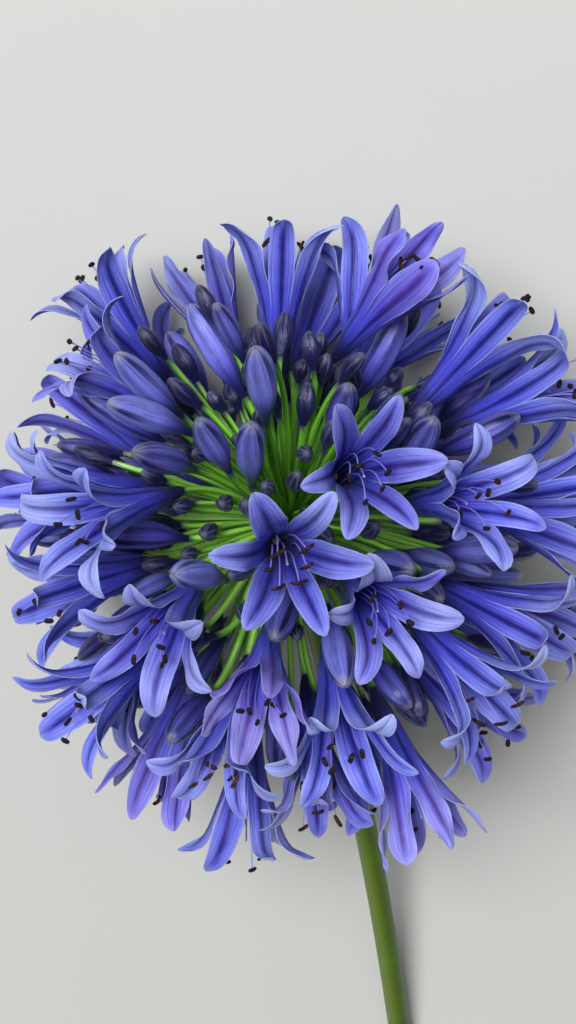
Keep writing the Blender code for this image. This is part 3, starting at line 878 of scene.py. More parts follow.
def stalk_finish(look):
    """Glossy green, with painted shade at the knob, dark under the florets, and a painted lit side and a
    painted shaded side.
    """
    # The colour at the knob, below the bright middle, is painted shade where the stalks crowd into the hub
    stalk = Finish("stalk_green", look.roughness, look.root)
    along = stalk.grain("Z")
    side = stalk.number("pale")
    streak = stalk.grain_noise(5.0, 1.4, 2.0)
    stalk.lay("Bright middle", look.middle, (along, 0.12, 0.62))
    stalk.lay("Dark end", look.end, (along, 0.80, 1.0, 0.0, 0.75))
    # Painted light: the side facing the lit direction is paler
    stalk.lay("Pale side", look.pale_streak_and_lit_side, (side, 0.10, 0.90, 0.0, 0.85))
    # Painted shade: the side away from the lit direction is darker
    stalk.lay("Shaded side", look.end, (side, 0.30, -0.60, 0.0, 0.90))
    stalk.lay("Dark streaks", look.end, (streak, 0.47, 0.70, 0.0, 0.60))
    stalk.lay("Pale streaks", look.pale_streak_and_lit_side, (streak, 0.46, 0.30, 0.0, 0.60))
    stalk.lay("Join", look.join, (along, 0.93, 1.0, 0.0, 0.9))
    stalk.vary(streak, 0.25, 0.88)
    stalk.relief(streak, 0.00012, 0.5)
    stalk.let_light_in(0.06, GREEN_DEPTHS, 0.0004)
    return stalk.done({"Specular IOR Level": 0.6, "Coat Weight": 0.25, "Coat Roughness": 0.12})


def stem_finish(look):
    """Deep fleshy green with a painted lit side and a painted shaded side, fine lengthwise streaks and a pale
    wet cut.
    """
    stem = Finish("stem_green", 0.36, look.stem_low)
    side = stem.number("pale")
    streak = stem.grain_noise(16.0, 5.0)
    fibres = stem.fade(stem.place_noise(900.0), 0.40, 0.65)
    stem.lay("Upper part", look.stem_high, (stem.grain("Z"), 0.35, 0.95))
    # Painted light: the side facing the lit direction is paler
    stem.lay("Pale side", look.stem_lit_side, (side, 0.10, 0.95, 0.0, 0.70))
    # Painted shade: the far side is darker
    stem.lay("Shaded side", look.end, (side, 0.05, -0.80, 0.0, 0.60))
    stem.lay("Dark streaks", look.end, (streak, 0.42, 0.70, 0.0, 0.4))
    stem.lay("Blotches", look.root, (stem.place_noise(70.0, 3.0), 0.50, 0.75, 0.0, 0.18))
    stem.lay("Cut", stem.mixed(fibres, look.cut, look.cut_fibre), (stem.number("back"), 0.35, 0.75))
    stem.relief(streak, 0.00018, 0.6)
    stem.let_light_in(0.04, GREEN_DEPTHS, 0.001)
    return stem.done({"Specular IOR Level": 0.35})


def floor_finish(colour):
    """Pale, faintly clouded, and darkened beyond the stem's end by a painted shade."""
    floor = Finish("pale_floor", 0.9, colour)
    apart = floor.new("VectorMath", operation="DISTANCE")
    floor.put(floor.new("TexCoord").outputs["Object"], apart.inputs[0])
    floor.put(SHADE_CENTRE, apart.inputs[1])
    shade = floor.fade(apart.outputs["Value"], *SHADE_REACH, SHADE_DEPTH, 1.0)
    clouds = floor.fade(floor.place_noise(9.0, 4.0), 0.2, 0.8, 0.985, 1.01)
    floor.brighten(floor.times(shade, clouds))
    return floor.done({"Specular IOR Level": 0.2})


# Open florets

TEPAL_SHARES = LAST_SHARE * (1.0 - (1.0 - np.arange(1, TEPAL_ROWS + 1) / TEPAL_ROWS) ** ROW_CROWDING)
TEPAL_TURNS = math.tau * np.arange(TEPALS) / TEPALS
TEPAL_POINTS = TEPAL_ROWS * len(ACROSS)
COLUMNS = len(ACROSS) - 1
RING = TEPALS * COLUMNS
RING_ACROSS = np.tile(ACROSS[:-1], TEPALS)
RING_TURN = np.repeat(TEPAL_TURNS, COLUMNS) + RING_ACROSS * math.pi / TEPALS
TUBE_SHARE = TUBE_LENGTH / (TUBE_LENGTH + TEPAL_LENGTH)
SHEET_CENTRE = TUBE_ROWS * RING + TEPALS * TEPAL_POINTS
TEPAL_PARTS = [slice(start, start + TEPAL_POINTS)
               for start in range(TUBE_ROWS * RING, SHEET_CENTRE, TEPAL_POINTS)]


def sheet_faces():
    """The faces of a floret's middle sheet, and the edges of its free rim, each in its face's direction."""
    quads = [ring_faces(TUBE_ROWS, RING)]
    rim = []
    for j, part in enumerate(TEPAL_PARTS):
        mouth = (TUBE_ROWS - 1) * RING + (j * COLUMNS + np.arange(COLUMNS + 1)) % RING
        grid = np.vstack((mouth, np.arange(part.start, part.stop).reshape(TEPAL_ROWS, -1)))
        corners = (grid[:-1, :-1], grid[:-1, 1:], grid[1:, 1:], grid[1:, :-1])
        quads.append(np.stack(corners, -1).reshape(-1, 4))
        rim.append(np.stack((grid[1:, 0], grid[:-1, 0]), -1))
        rim.append(np.stack((grid[:-1, -1], grid[1:, -1]), -1))
        rim.append(np.stack((grid[-1, 1:], grid[-1, :-1]), -1))
    return np.concatenate(quads), fan(SHEET_CENTRE, np.arange(RING)), np.concatenate(rim)


def sheet_numbers():
    """For each point of the sheet: its grain, its distance from a tepal's middle and its share along."""
    tepal_turn = np.repeat(TEPAL_TURNS[:, None] + ACROSS * math.pi / TEPALS, TEPAL_ROWS, axis=0)
    tube_along = TUBE_SHARE * np.arange(TUBE_ROWS) / (TUBE_ROWS - 1)
    tepal_along = np.repeat(TUBE_SHARE + (1.0 - TUBE_SHARE) * TEPAL_SHARES, len(ACROSS))
    angle = np.concatenate((np.tile(RING_TURN, TUBE_ROWS), tepal_turn.ravel(), (0.0,)))
    across = np.concatenate((np.tile(RING_ACROSS, TUBE_ROWS), np.tile(ACROSS, TEPALS * TEPAL_ROWS), (0.0,)))
    along = np.concatenate((np.repeat(tube_along, RING), np.tile(tepal_along, TEPALS), (0.0,)))
    return np.stack((np.cos(angle), np.sin(angle), along), -1), np.abs(across), along


SHEET_QUADS, SHEET_FOOT, SHEET_RIM = sheet_faces()
SHEET_GRAIN, SHEET_MIDDLE, SHEET_ALONG = sheet_numbers()
SHEET_COUNT = len(SHEET_ALONG)


def tube_rows():
    """The tube's rings, from inside the stalk's end to the mouth, ribbed along the middle of each tepal."""
    share = np.arange(TUBE_ROWS) / (TUBE_ROWS - 1)
    height = -TUBE_FOOT_REACH + (TUBE_LENGTH + TUBE_FOOT_REACH) * share
    radius = TUBE_FOOT_RADIUS + (TUBE_MOUTH_RADIUS - TUBE_FOOT_RADIUS) * share ** TUBE_FLARE_POWER
    ribs = TUBE_KEEL * np.exp(-(RING_ACROSS / GROOVE_WIDTH) ** 2) - TUBE_SEAM * np.abs(RING_ACROSS) ** 6
    rim = radius[:, None] + ribs * (ramp(share, 0.0, TUBE_RIBS_BY) * (1.0 - share ** 4))[:, None]
    points = (rim * np.cos(RING_TURN), rim * np.sin(RING_TURN), np.broadcast_to(height[:, None], rim.shape))
    return np.stack(points, -1).reshape(-1, 3)


class TepalLook:
    """One tepal's own waves, twist, bend, curl and painted highlight; those of a crumpled floret close in
    again.
    """

    def __init__(self, rng, blooms, crumpled):
        curl = math.radians(rng.choice(TEPAL_CURLS))
        self.curl = curl * blooms.curl
        # A painted highlight on the tepal's end, stronger the further it curls back
        self.pale = rng.uniform(*CURL_HIGHLIGHT) * ramp(curl, *HIGHLIGHT_CURLS)
        self.wave = rng.uniform(*WAVE_HEIGHTS) * blooms.wave
        self.crumple = rng.uniform(*WAVE_COUNTS)
        self.phases = (rng.uniform(0.0, 1.0), rng.uniform(0.0, 1.0))
        self.twist = rng.gauss(0.0, TEPAL_TWIST)
        self.bend = rng.gauss(0.0, TEPAL_BEND)
        self.tone = rng.uniform(*TEPAL_TONES)
        if crumpled:
            self.curl = -math.radians(rng.uniform(*CRUMPLED_CURL))
            self.wave *= CRUMPLED_WAVE
            self.twist *= CRUMPLED_TWIST


def half_widths(share, widest):
    """Half a tepal's width: the tube's own at its mouth, widest halfway, and rounded in to the tip."""
    start = TUBE_MOUTH_RADIUS * math.pi / TEPALS
    along = np.clip((share - TEPAL_WIDEST_AT) / (1.0 - TEPAL_WIDEST_AT), 0.0, 1.0)
    inner, outer = TEPAL_TIP_POWERS
    tip = widest * (1.0 - along ** inner) ** outer
    shoulder = ramp((share / TEPAL_WIDEST_AT) ** SHOULDER_POWER)
    return np.where(share < TEPAL_WIDEST_AT, start + (widest - start) * shoulder, tip)


def tepal_rows(j, opening, tepal, blooms):
    """One tepal's rows of points: a waved strip with a groove down its middle, bending back to its tip."""
    keel = tepal_keel(TEPAL_HOLD * opening, TEPAL_SHARES, tepal.curl)
    radius, height, lean = (line[:, None] for line in keel)
    share = TEPAL_SHARES[:, None]
    across = ACROSS[None, :]
    free = ramp(share, 0.0, FREE_BY)
    limit = radius * math.pi / TEPALS * (1.0 + OVERLAP * free)
    widest = TEPAL_HALF_WIDTH[j % 2] * blooms.width
    half = np.minimum(half_widths(share, widest), limit)
    fullness = ramp(half / widest * FULLNESS)
    curl = radius * (1.0 + TEPAL_FLATTENING * share)
    swing = across * half / curl
    phase = np.where(across < 0.0, *tepal.phases)
    wave = tepal.wave * np.abs(across) ** WAVE_POWER * np.sin(math.tau * (tepal.crumple * share + phase))
    depth = GROOVE_AT_MOUTH + (1.0 - GROOVE_AT_MOUTH) * free
    groove = -blooms.groove * np.exp(-(across / GROOVE_WIDTH) ** 2) * depth * fullness
    bulge = blooms.bulge * np.sin(math.pi * np.abs(across)) * free * fullness
    whorl = WHORL_STEP * (1.0 if j % 2 else -1.0) * ramp(share, 0.0, WHORL_BY)
    turn = across * half * np.tan(tepal.twist * share)
    inset = curl * (1.0 - np.cos(swing)) + wave * fullness * ramp(share, *WAVE_RISE)
    inset = inset + groove + bulge + whorl + turn
    out = radius - inset * np.cos(lean)
    side = curl * np.sin(swing) + tepal.bend * share ** 2
    c, s = math.cos(TEPAL_TURNS[j]), math.sin(TEPAL_TURNS[j])
    points = (out * c - side * s, out * s + side * c, height + inset * np.sin(lean))
    return np.stack(points, -1).reshape(-1, 3)


def vertex_normals(points):
    """Each sheet point's normal, from the faces round it."""
    corner = points[SHEET_QUADS]
    face = np.cross(corner[:, 2] - corner[:, 0], corner[:, 3] - corner[:, 1])
    normals = np.zeros_like(points)
    for k in range(4):
        np.add.at(normals, SHEET_QUADS[:, k], face)
    normals[-1] = points[-1] - points[RING * 2:RING * 3].mean(0)
    return unit(normals)


def pressed(points):
    """The sheet with the ends of tepals that would dip below the surface lying on it."""
    along = np.clip((SHEET_ALONG - TUBE_SHARE) / (1.0 - TUBE_SHARE), 0.0, 1.0)
    for part in TEPAL_PARTS:
        if points[part, 2][-len(ACROSS):].min() < PETAL_REST:
            points[part, 2] -= PRESS_DROP * ramp(along[part], *PRESS_RISE)
    above = points[:, 2] - PETAL_REST
    points[:, 2] = PETAL_REST + 0.5 * (above + np.sqrt(above ** 2 + PRESS_EASING ** 2))
    return points


def add_perianth(draft, flower, rng, blooms):
    """The six tepals of one floret as one thin closed form."""
    crumpled = rng.random() < blooms.crumpled
    looks = [TepalLook(rng, blooms, crumpled) for _ in range(TEPALS)]
    tepals = [tepal_rows(j, flower.openings[j], looks[j], blooms) for j in range(TEPALS)]
    local = np.concatenate((tube_rows(), *tepals, ((0.0, 0.0, -TUBE_FOOT_REACH),)))
    sheet = pressed(into_world(flower.size * local, flower))
    thickness = 0.5 * blooms.thickness * (1.0 - TEPAL_EDGE_THINNING * SHEET_MIDDLE ** 3)
    offset = vertex_normals(sheet) * thickness[:, None]
    start, end = SHEET_RIM.T
    rim = np.stack((end, start, start + SHEET_COUNT, end + SHEET_COUNT), -1)
    inner = [faces[:, ::-1] + SHEET_COUNT for faces in (SHEET_QUADS, SHEET_FOOT)]
    tone = np.full(SHEET_COUNT, rng.uniform(-FLORET_TONE, FLORET_TONE))
    # Each tepal's painted highlight, weaker on the back face
    pale = np.zeros(SHEET_COUNT)
    for part, look in zip(TEPAL_PARTS, looks):
        tone[part] += look.tone * ramp(SHEET_ALONG[part], TUBE_SHARE, TUBE_SHARE + TONE_REACH)
        pale[part] = look.pale
    warmth = rng.uniform(*CRUMPLED_WARMTH) ** 2 if crumpled else rng.choice(WARMTHS)
    warmth = warmth * ramp(SHEET_ALONG, *WARMTH_RISE)
    draft.add(np.concatenate((sheet + offset, sheet - offset)), (SHEET_QUADS, SHEET_FOOT, *inner, rim),
              np.tile(SHEET_GRAIN, (2, 1)), middle=np.tile(SHEET_MIDDLE, 2), tone=np.tile(tone, 2),
              warmth=np.tile(warmth, 2), back=np.repeat((1.0, 0.0), SHEET_COUNT),
              pale=np.concatenate((BACK_HIGHLIGHT * pale, pale)))
    return looks


def kept_inside(path, flower, looks):
    """A filament's path drawn in towards the floret's axis where it would meet the tepals on its side."""
    across = path[:, :2]
    distance = np.linalg.norm(across, axis=1) + TOUCH
    room = np.ones(len(path))
    for opening, look, angle in zip(flower.openings, looks, TEPAL_TURNS):
        radius, height, _ = tepal_keel(TEPAL_HOLD * opening, KEEL_SHARES, look.curl)
        rising = slice(0, int(height.argmax()) + 1)
        towards = across @ np.array((math.cos(angle), math.sin(angle))) / distance
        free = np.interp(path[:, 2], height[rising], radius[rising], right=1.0)
        room = np.where(towards > 0.5, np.minimum(room, free), room)
    near, far = STAMEN_ROOM
    room = room - near - (far - near) * np.linspace(0.0, 1.0, len(path)) ** 3
    path[:, :2] = across * np.minimum(1.0, room / distance)[:, None]
    return path


def add_thread(draft, flower, looks, path, radii):
    """A filament or style along a path in the floret's own frame, and where it comes to lie."""
    path = into_world(flower.size * kept_inside(path, flower, looks), flower)
    path[:, 2] = np.maximum(path[:, 2], STAMEN_REST)
    draft.add(*swept(path, radii, FILAMENT_SIDES), 1)
    return path


def add_anther(draft, flower, filament, fresh, rust, rng):
    """A two-lobed anther, swinging across the end of its filament."""
    heading = unit(filament[-1] - filament[-2])
    sideways = unit(np.cross(heading, np.array([rng.gauss(0.0, 1.0) for _ in range(3)])))
    lie = unit(heading * rng.uniform(*ANTHER_LEAN) + sideways)
    arch = np.cross(lie, np.cross(lie, heading))
    length = rng.uniform(*ANTHER_LENGTHS[fresh]) * flower.size
    along = np.linspace(-1.0, 1.0, ANTHER_STEPS)[:, None]
    path = filament[-1] + 0.5 * length * along * lie + ANTHER_ARCH * length * along ** 2 * arch
    path[:, 2] = np.maximum(path[:, 2], STAMEN_REST)
    lobes = 1.0 + ANTHER_LOBES * np.cos(2.0 * math.tau * np.arange(ANTHER_SIDES) / ANTHER_SIDES)
    girth = ANTHER_RADII[fresh] * (1.0 - along ** 4) ** 0.5 + ANTHER_END_RADIUS
    draft.add(*swept(path, girth * lobes, ANTHER_SIDES), 2, warmth=rust)


def add_stamens(draft, flower, looks, rng):
    """Six lilac filaments with dark anthers and a style, sagging together and rising at their ends."""
    down = flower.frame.T @ np.array((0.0, 0.0, -1.0))
    down[2] = 0.0
    down = down / (np.linalg.norm(down) + HANGING_EASE)
    t = np.linspace(0.0, 1.0, FILAMENT_STEPS)
    sway = down * (-FILAMENT_RISE * t ** 3 + FILAMENT_SAG * np.sin(math.pi * t) + FILAMENT_SAG * t)[:, None]
    fresh = rng.random() < FRESH_SHARE
    rust = rng.uniform(*RUST[fresh])
    start_radius, start_height = FILAMENT_START
    low, high = FILAMENT_RADII
    for turn in TEPAL_TURNS:
        angle = turn + rng.gauss(0.0, FILAMENT_SCATTER)
        outward = np.array((math.cos(angle), math.sin(angle), 0.0))
        top = rng.uniform(*FILAMENT_HEIGHT)
        splay = rng.uniform(*FILAMENT_SPLAY)
        ring = start_radius + (splay - start_radius * FILAMENT_DRAW_IN) * t ** FILAMENT_SPLAY_POWER
        path = outward * ring[:, None] + sway
        path[:, 2] += start_height + (top - start_height) * t
        filament = add_thread(draft, flower, looks, path, low + (high - low) * t)
        add_anther(draft, flower, filament, fresh, rust, rng)
    top = rng.uniform(*STYLE_HEIGHT)
    path = STYLE_SAG * sway
    path[:, 2] += STYLE_START + (top - STYLE_START) * t
    add_thread(draft, flower, looks, path, STYLE_RADIUS * (1.0 + STIGMA_SWELL * (t > STIGMA_FROM)))


# Buds, stalks and stem

def add_bud(draft, flower, rng):
    """A closed bud of six tepals: a ribbed club on the end of its stalk."""
    kind = flower.kind
    rows = BUD_ROWS[kind]
    sides = BUD_SIDES[kind]
    foot = BUD_FOOT[kind]
    along = 1.0 - (1.0 - np.linspace(0.0, 1.0, rows)) ** BUD_ROW_CROWDING
    body = foot + (1.0 - foot) * ramp(along, 0.0, BUD_FULL_FROM) ** BUD_FOOT_POWER
    end = np.clip((along - BUD_CLOSES_FROM[kind]) / (1.0 - BUD_CLOSES_FROM[kind]), 0.0, 1.0)
    inner, outer = BUD_TIP_POWERS
    tip = (1.0 - BUD_TIP_CLOSING * end ** inner) ** outer
    radius = BUD_GIRTH[kind] * bud_radius(flower.length) * body * tip
    threefold = np.cos(3.0 * math.tau * np.arange(sides) / sides)
    off_seam = threefold - BUD_SEAM
    lobes = np.sqrt(np.where(off_seam > 0.0, off_seam / (1.0 - BUD_SEAM), -off_seam / (1.0 + BUD_SEAM)))
    ribs = BUD_GROOVE[kind] * (lobes - 1.0) + OUTER_TEPAL_LIFT[kind] * threefold
    sway = rng.uniform(0.0, math.tau)
    bend = BUD_BEND * flower.length * np.sin(math.pi * along) * rng.uniform(*BUD_BENDS)
    path = np.stack((bend * math.cos(sway), bend * math.sin(sway), along * flower.length), -1)
    radii = radius[:, None] * (1.0 + ramp(along, 0.0, BUD_RIBS_BY)[:, None] * ribs)
    points, faces, grain = swept(into_world(path, flower), radii, sides)
    grain[:rows * sides, 2] = np.repeat(along, sides)
    grown, ripe = YOUTH_LENGTHS
    youth = np.clip((ripe - flower.length) / (ripe - grown), 0.0, 1.0) * rng.uniform(*YOUTH_SPREAD)
    pale = rng.choice(RIPENESS) * (1.0 - youth)
    draft.add(points, faces, grain, tone=rng.uniform(-BUD_TONE, BUD_TONE), youth=youth, pale=pale)


def painted_lit_side(points, path, sides, direction):
    """How squarely each point of a swept form looks along a direction in the head's own frame: how much
    painted light its side gets.
    """
    spokes = unit(points[:-2].reshape(len(path), sides, 3) - path[:, None])
    return np.append(spokes @ unit(HEAD @ np.array(direction)), (0.0, 0.0))


def add_stalk(draft, flower, rng):
    """A faintly ridged stalk from inside the knob to its floret, thinner at the knob."""
    share = np.linspace(0.0, 1.0, STALK_STEPS)[:, None]
    path = np.array(UMBEL_CENTRE) + stalk_point(flower.root, flower.base, flower.frame[:, 2], share)
    swell = 1.0 + (STALK_ROOT_SWELL - 1.0) * ramp(share, STALK_FULL_FROM, 0.0)
    swell += (STALK_TOP_SWELL - 1.0) * ramp(share, STALK_TOP_FROM, 1.0)
    ridges = 1.0 + STALK_RIDGE * np.cos(math.tau * STALK_RIDGES * np.arange(STALK_SIDES) / STALK_SIDES)
    points, faces, grain = swept(path, STALK_RADIUS[flower.kind] * swell * ridges, STALK_SIDES)
    # Painted light and shade: the stalk's side facing the lit direction is painted paler, the far side darker
    pale = painted_lit_side(points, path, STALK_SIDES, STALK_LIT_SIDE)
    draft.add(points, faces, grain, tone=rng.uniform(-STALK_TONE, STALK_TONE), pale=pale)


def stem_path():
    """The stem's middle line from the cut up to the knob's top, and its radius at each point."""
    centre = np.array(UMBEL_CENTRE)
    foot_radius = STEM_FOOT_SWELL * STEM_RADIUS
    rise = math.asin(centre[2] / math.hypot(STEM_LENGTH, foot_radius)) - math.atan2(foot_radius, STEM_LENGTH)
    run = np.array((0.0, math.cos(rise), math.sin(rise)))
    steps = (np.arange(2, STEM_STEPS + 1) - 0.5) / (STEM_STEPS - 0.5)
    knob_start = 1.0 - KNOB_BLEND * KNOB_RADIUS / STEM_LENGTH
    share = np.concatenate(((0.0, CUT_BEVEL / STEM_LENGTH), knob_start * steps))
    path = centre - run * (STEM_LENGTH * (1.0 - share))[:, None]
    path[:, 0] += STEM_BOW * np.sin(math.pi * share)
    radii = STEM_RADIUS * (STEM_FOOT_SWELL + (1.0 - STEM_FOOT_SWELL) * share)
    radii[0] -= CUT_BEVEL
    along, swell = np.array(((-1.0, STEM_TOP_SWELL * STEM_RADIUS / KNOB_RADIUS), *KNOB_PROFILE)).T
    knob = centre + along[:, None] * KNOB_RADIUS * HEAD[:, 2]
    return np.concatenate((path, knob)), np.append(radii, swell * KNOB_RADIUS)


def turn_round_head(flower):
    return math.atan2(flower.base @ HEAD[:, 1], flower.base @ HEAD[:, 0])


def add_groups(name, florets, add, material, slot):
    """Pieces that each hold the buds or stalks of neighbours, by their turn round the head's axis."""
    count, seed = GROUPS[name]
    ordered = sorted(florets, key=turn_round_head)
    for i in range(count):
        draft = Draft()
        rng = random.Random(seed + i)
        for flower in ordered[len(ordered) * i // count:len(ordered) * (i + 1) // count]:
            add(draft, flower, rng)
        draft.piece(f"{name}_{i + 1}", (material,), slot, "stem")


def check_place(piece, node):
    """Raises if a piece isn't where the frame's node is."""
    corners = np.array([vertex.co for vertex in piece.data.vertices])
    drift = np.abs(np.array((corners.min(0), corners.max(0))) - np.array(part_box(node))).max()
    if drift > PLACE_TOLERANCE:
        raise RuntimeError(f"{piece.name} is {drift:.4f} m off the frame's {node}")


# The stage

def add_surface(stage):
    """A round pale surface, wide enough for any view."""
    mesh = bpy.data.meshes.new("surface")
    turn = np.linspace(0.0, math.tau, SURFACE_SIDES, endpoint=False)
    rim = [(SURFACE_RADIUS * math.cos(a), SURFACE_RADIUS * math.sin(a), 0.0) for a in turn]
    mesh.from_pydata(rim, [], [tuple(range(len(rim)))])
    mesh.materials.append(floor_finish(stage.floor))
    added("surface", mesh)


def add_lamp(name, kind, strength, place, direction):
    """A light at a place, which shines against the direction."""
    light = bpy.data.lights.new(name, kind)
    light.energy = strength
    lamp = added(name, light)
    lamp.location = place
    lamp.rotation_euler = direction.to_track_quat("Z", "Y").to_euler()
    return light


def add_lights(stage, centre):
    """A key as wide and soft as a large window, and a wide soft light beyond the head."""
    direction = Vector(KEY_DIRECTION)
    key = add_lamp("key", "SUN", stage.key_strength, direction, direction)
    key.angle = KEY_SOFTNESS
    offset = Vector(GLOW_OFFSET)
    glow = add_lamp("glow", "AREA", stage.glow_power, centre + offset, offset - Vector(GLOW_AIM))
    glow.size = GLOW_SIZE


def add_world(stage):
    """Soft light all round: as pale as the surface at the horizon, and dimmer overhead."""
    world = bpy.data.worlds.new("surroundings")
    bpy.context.scene.world = world
    world.use_nodes = True
    nodes = Nodes(world.node_tree)
    height = nodes.part(nodes.new("TexCoord").outputs["Generated"], "Z")
    zenith = tuple(stage.ambience * value for value in stage.backdrop)
    colour = nodes.mixed(nodes.fade(height, *HORIZON_BAND), stage.horizon, zenith)
    sky = world.node_tree.nodes["Background"]
    nodes.put(colour, sky.inputs["Color"])
    nodes.put(1.0, sky.inputs["Strength"])


def add_camera(stage, centre):
    """A camera that looks down on the head from beyond its top, back along the stem."""
    lens = bpy.data.cameras.new("camera")
    lens.lens = stage.lens
    lens.sensor_width = SENSOR_WIDTH
    camera = added("camera", lens)
    back = Vector((0.0, math.cos(stage.elevation), math.sin(stage.elevation)))
    up = Matrix.Rotation(stage.roll, 3, back) @ Vector((0.0, 1.0, 0.0))
    right = up.cross(back).normalized()
    placed = Matrix((right, back.cross(right), back)).transposed().to_4x4()
    placed.translation = centre + Vector(CAMERA_AIM) + back * stage.distance
    camera.matrix_world = placed
    bpy.context.scene.camera = camera


# The settings that a user would change

def colour_setting(name, description, default):
    return FloatVectorProperty(name=name, description=description, default=default, subtype="COLOR", size=3,
                               min=0.0, max=1.0)


def number_setting(name, description, default, **limits):
    return FloatProperty(name=name, description=description, default=default, **limits)


def length_setting(name, description, default):
    return number_setting(name, description, default, subtype="DISTANCE", unit="LENGTH", min=0.0, precision=5)


def share_setting(name, description, default):
    return number_setting(name, description, default, subtype="FACTOR", min=0.0, max=1.0)


def angle_setting(name, description, degrees):
    return number_setting(name, description, math.radians(degrees), subtype="ANGLE", unit="ROTATION")


class BloomSettings(PropertyGroup):
    """The open florets."""

    thickness: length_setting("Thickness", "Thickness of a tepal at its middle", 0.00034)
    width: share_setting("Width", "Width of a tepal as a share of the frame's", 0.88)
    wave: length_setting("Waves", "Height of the waves along a tepal's edges", 0.00115)
    groove: length_setting("Groove", "Depth of the groove down a tepal's middle", 0.00042)
    bulge: length_setting("Bulge", "How far each half of a tepal bulges", 0.00038)
    curl: share_setting("Curl", "How far the tips bend back further than the frame's", 0.9)
    crumpled: share_setting("Crumpled", "Share of the florets that have closed in again", 0.14)
    light: colour_setting("Light petal", "Colour towards the tips", (0.195, 0.224, 0.755))
    flank: colour_setting("Petal", "Colour of the petals' flanks", (0.050, 0.053, 0.545))
    line: colour_setting("Middle line", "Colour of the dark line and veins", (0.009, 0.008, 0.150))
    margin: colour_setting("Margin", "Colour of the pale edges", (0.385, 0.460, 0.850))
    foot: colour_setting("Foot", "Colour of the tube's foot", (0.007, 0.006, 0.048))
    blush: colour_setting("Blush", "Purple that ageing petals turn to", (0.18, 0.045, 0.38))
    filament: colour_setting("Filament", "Colour of the filaments and style", (0.27, 0.24, 0.70))
    anther: colour_setting("Anther", "Colour of the anthers", (0.008, 0.004, 0.008))
    pollen: colour_setting("Pollen", "Colour of the pollen on them", (0.075, 0.031, 0.020))
    roughness: share_setting("Roughness", "Roughness of the petals", 0.34)
    sheen: share_setting("Sheen", "Soft shine of the petals at a low angle", 0.05)


class BudSettings(PropertyGroup):
    """The closed buds."""

    body: colour_setting("Body", "Colour of a large bud", (0.066, 0.062, 0.430))
    shoulder: colour_setting("Shoulder", "Colour towards its tip", (0.160, 0.162, 0.620))
    ripe: colour_setting("Ripe", "Colour of the buds that are about to open", (0.205, 0.225, 0.715))
    young: colour_setting("Young", "Colour of the small buds", (0.006, 0.005, 0.024))
    dark: colour_setting("Dark", "Colour of the keels, veins and foot", (0.005, 0.005, 0.052))
    seam: colour_setting("Seams", "Colour of the seams between tepals", (0.25, 0.28, 0.60))
    crease: colour_setting("Creases", "Colour of the creases on the small buds", (0.165, 0.180, 0.215))
    tip: colour_setting("Tip", "Colour round the point", (0.33, 0.34, 0.27))
    point: colour_setting("Point", "Colour of the very point", (0.11, 0.09, 0.045))
    roughness: share_setting("Roughness", "Roughness of the buds", 0.27)
    sheen: share_setting("Sheen", "Soft bloom on the buds", 0.05)


class GreenSettings(PropertyGroup):
    """The stalks and the stem."""

    # At the knob this colour is painted shade; the stem's blotches take it as their own colour
    root: colour_setting("Root", "Colour of the stalks at the knob", (0.060, 0.280, 0.006))
    middle: colour_setting("Middle", "Colour of the stalks halfway", (0.185, 0.560, 0.030))
    # Laid as painted shade on the shaded sides of stalks and stem, and as the real dark streaks and dark
    # stalk ends
    end: colour_setting("End", "Colour under the florets and in the shaded parts", (0.018, 0.110, 0.004))
    # Laid as painted light on the lit sides of stalks and stem, and as the real pale streaks
    pale_streak_and_lit_side: colour_setting("Pale", "Colour of the stalks' pale streaks and sides", (0.340, 0.660, 0.110))
    join: colour_setting("Join", "Colour where a stalk meets its floret", (0.022, 0.030, 0.050))
    stem_low: colour_setting("Stem, low", "Colour of the stem at the cut", (0.055, 0.090, 0.005))
    stem_high: colour_setting("Stem, high", "Colour of the stem at the knob", (0.110, 0.175, 0.012))
    # Colour of the stem's painted lit side, painted light
    stem_lit_side: colour_setting("Stem, pale", "Colour of its pale side", (0.125, 0.195, 0.018))
    cut: colour_setting("Cut", "Colour of the cut end", (0.42, 0.50, 0.22))
    cut_fibre: colour_setting("Cut fibres", "Colour of the fibres in it", (0.24, 0.34, 0.10))
    roughness: share_setting("Roughness", "Roughness of the stalks", 0.28)


class StageSettings(PropertyGroup):
    """The surface, light and camera."""

    floor: colour_setting("Surface", "Colour of the surface", (0.592, 0.596, 0.574))
    horizon: colour_setting("Horizon", "Colour of the surroundings at the horizon", (0.675, 0.680, 0.663))
    backdrop: colour_setting("Surroundings", "Colour of the soft light overhead", (0.86, 0.87, 0.88))
    ambience: number_setting("Ambience", "Strength of the light overhead", 0.11, min=0.0)
    key_strength: number_setting("Key light", "Strength of the large soft light", 3.58, min=0.0)
    glow_power: number_setting("Glow", "Power of the light beyond the head", 9.0, min=0.0, subtype="POWER",
                               unit="POWER")
    elevation: angle_setting("Elevation", "How steeply the camera looks down", 68.0)
    roll: angle_setting("Roll", "How far the view is turned", -12.0)
    distance: length_setting("Distance", "From the camera to the head", 0.85)
    lens: number_setting("Lens", "Focal length on a 36 mm sensor", 84.0, unit="CAMERA", min=1.0)


# The operators

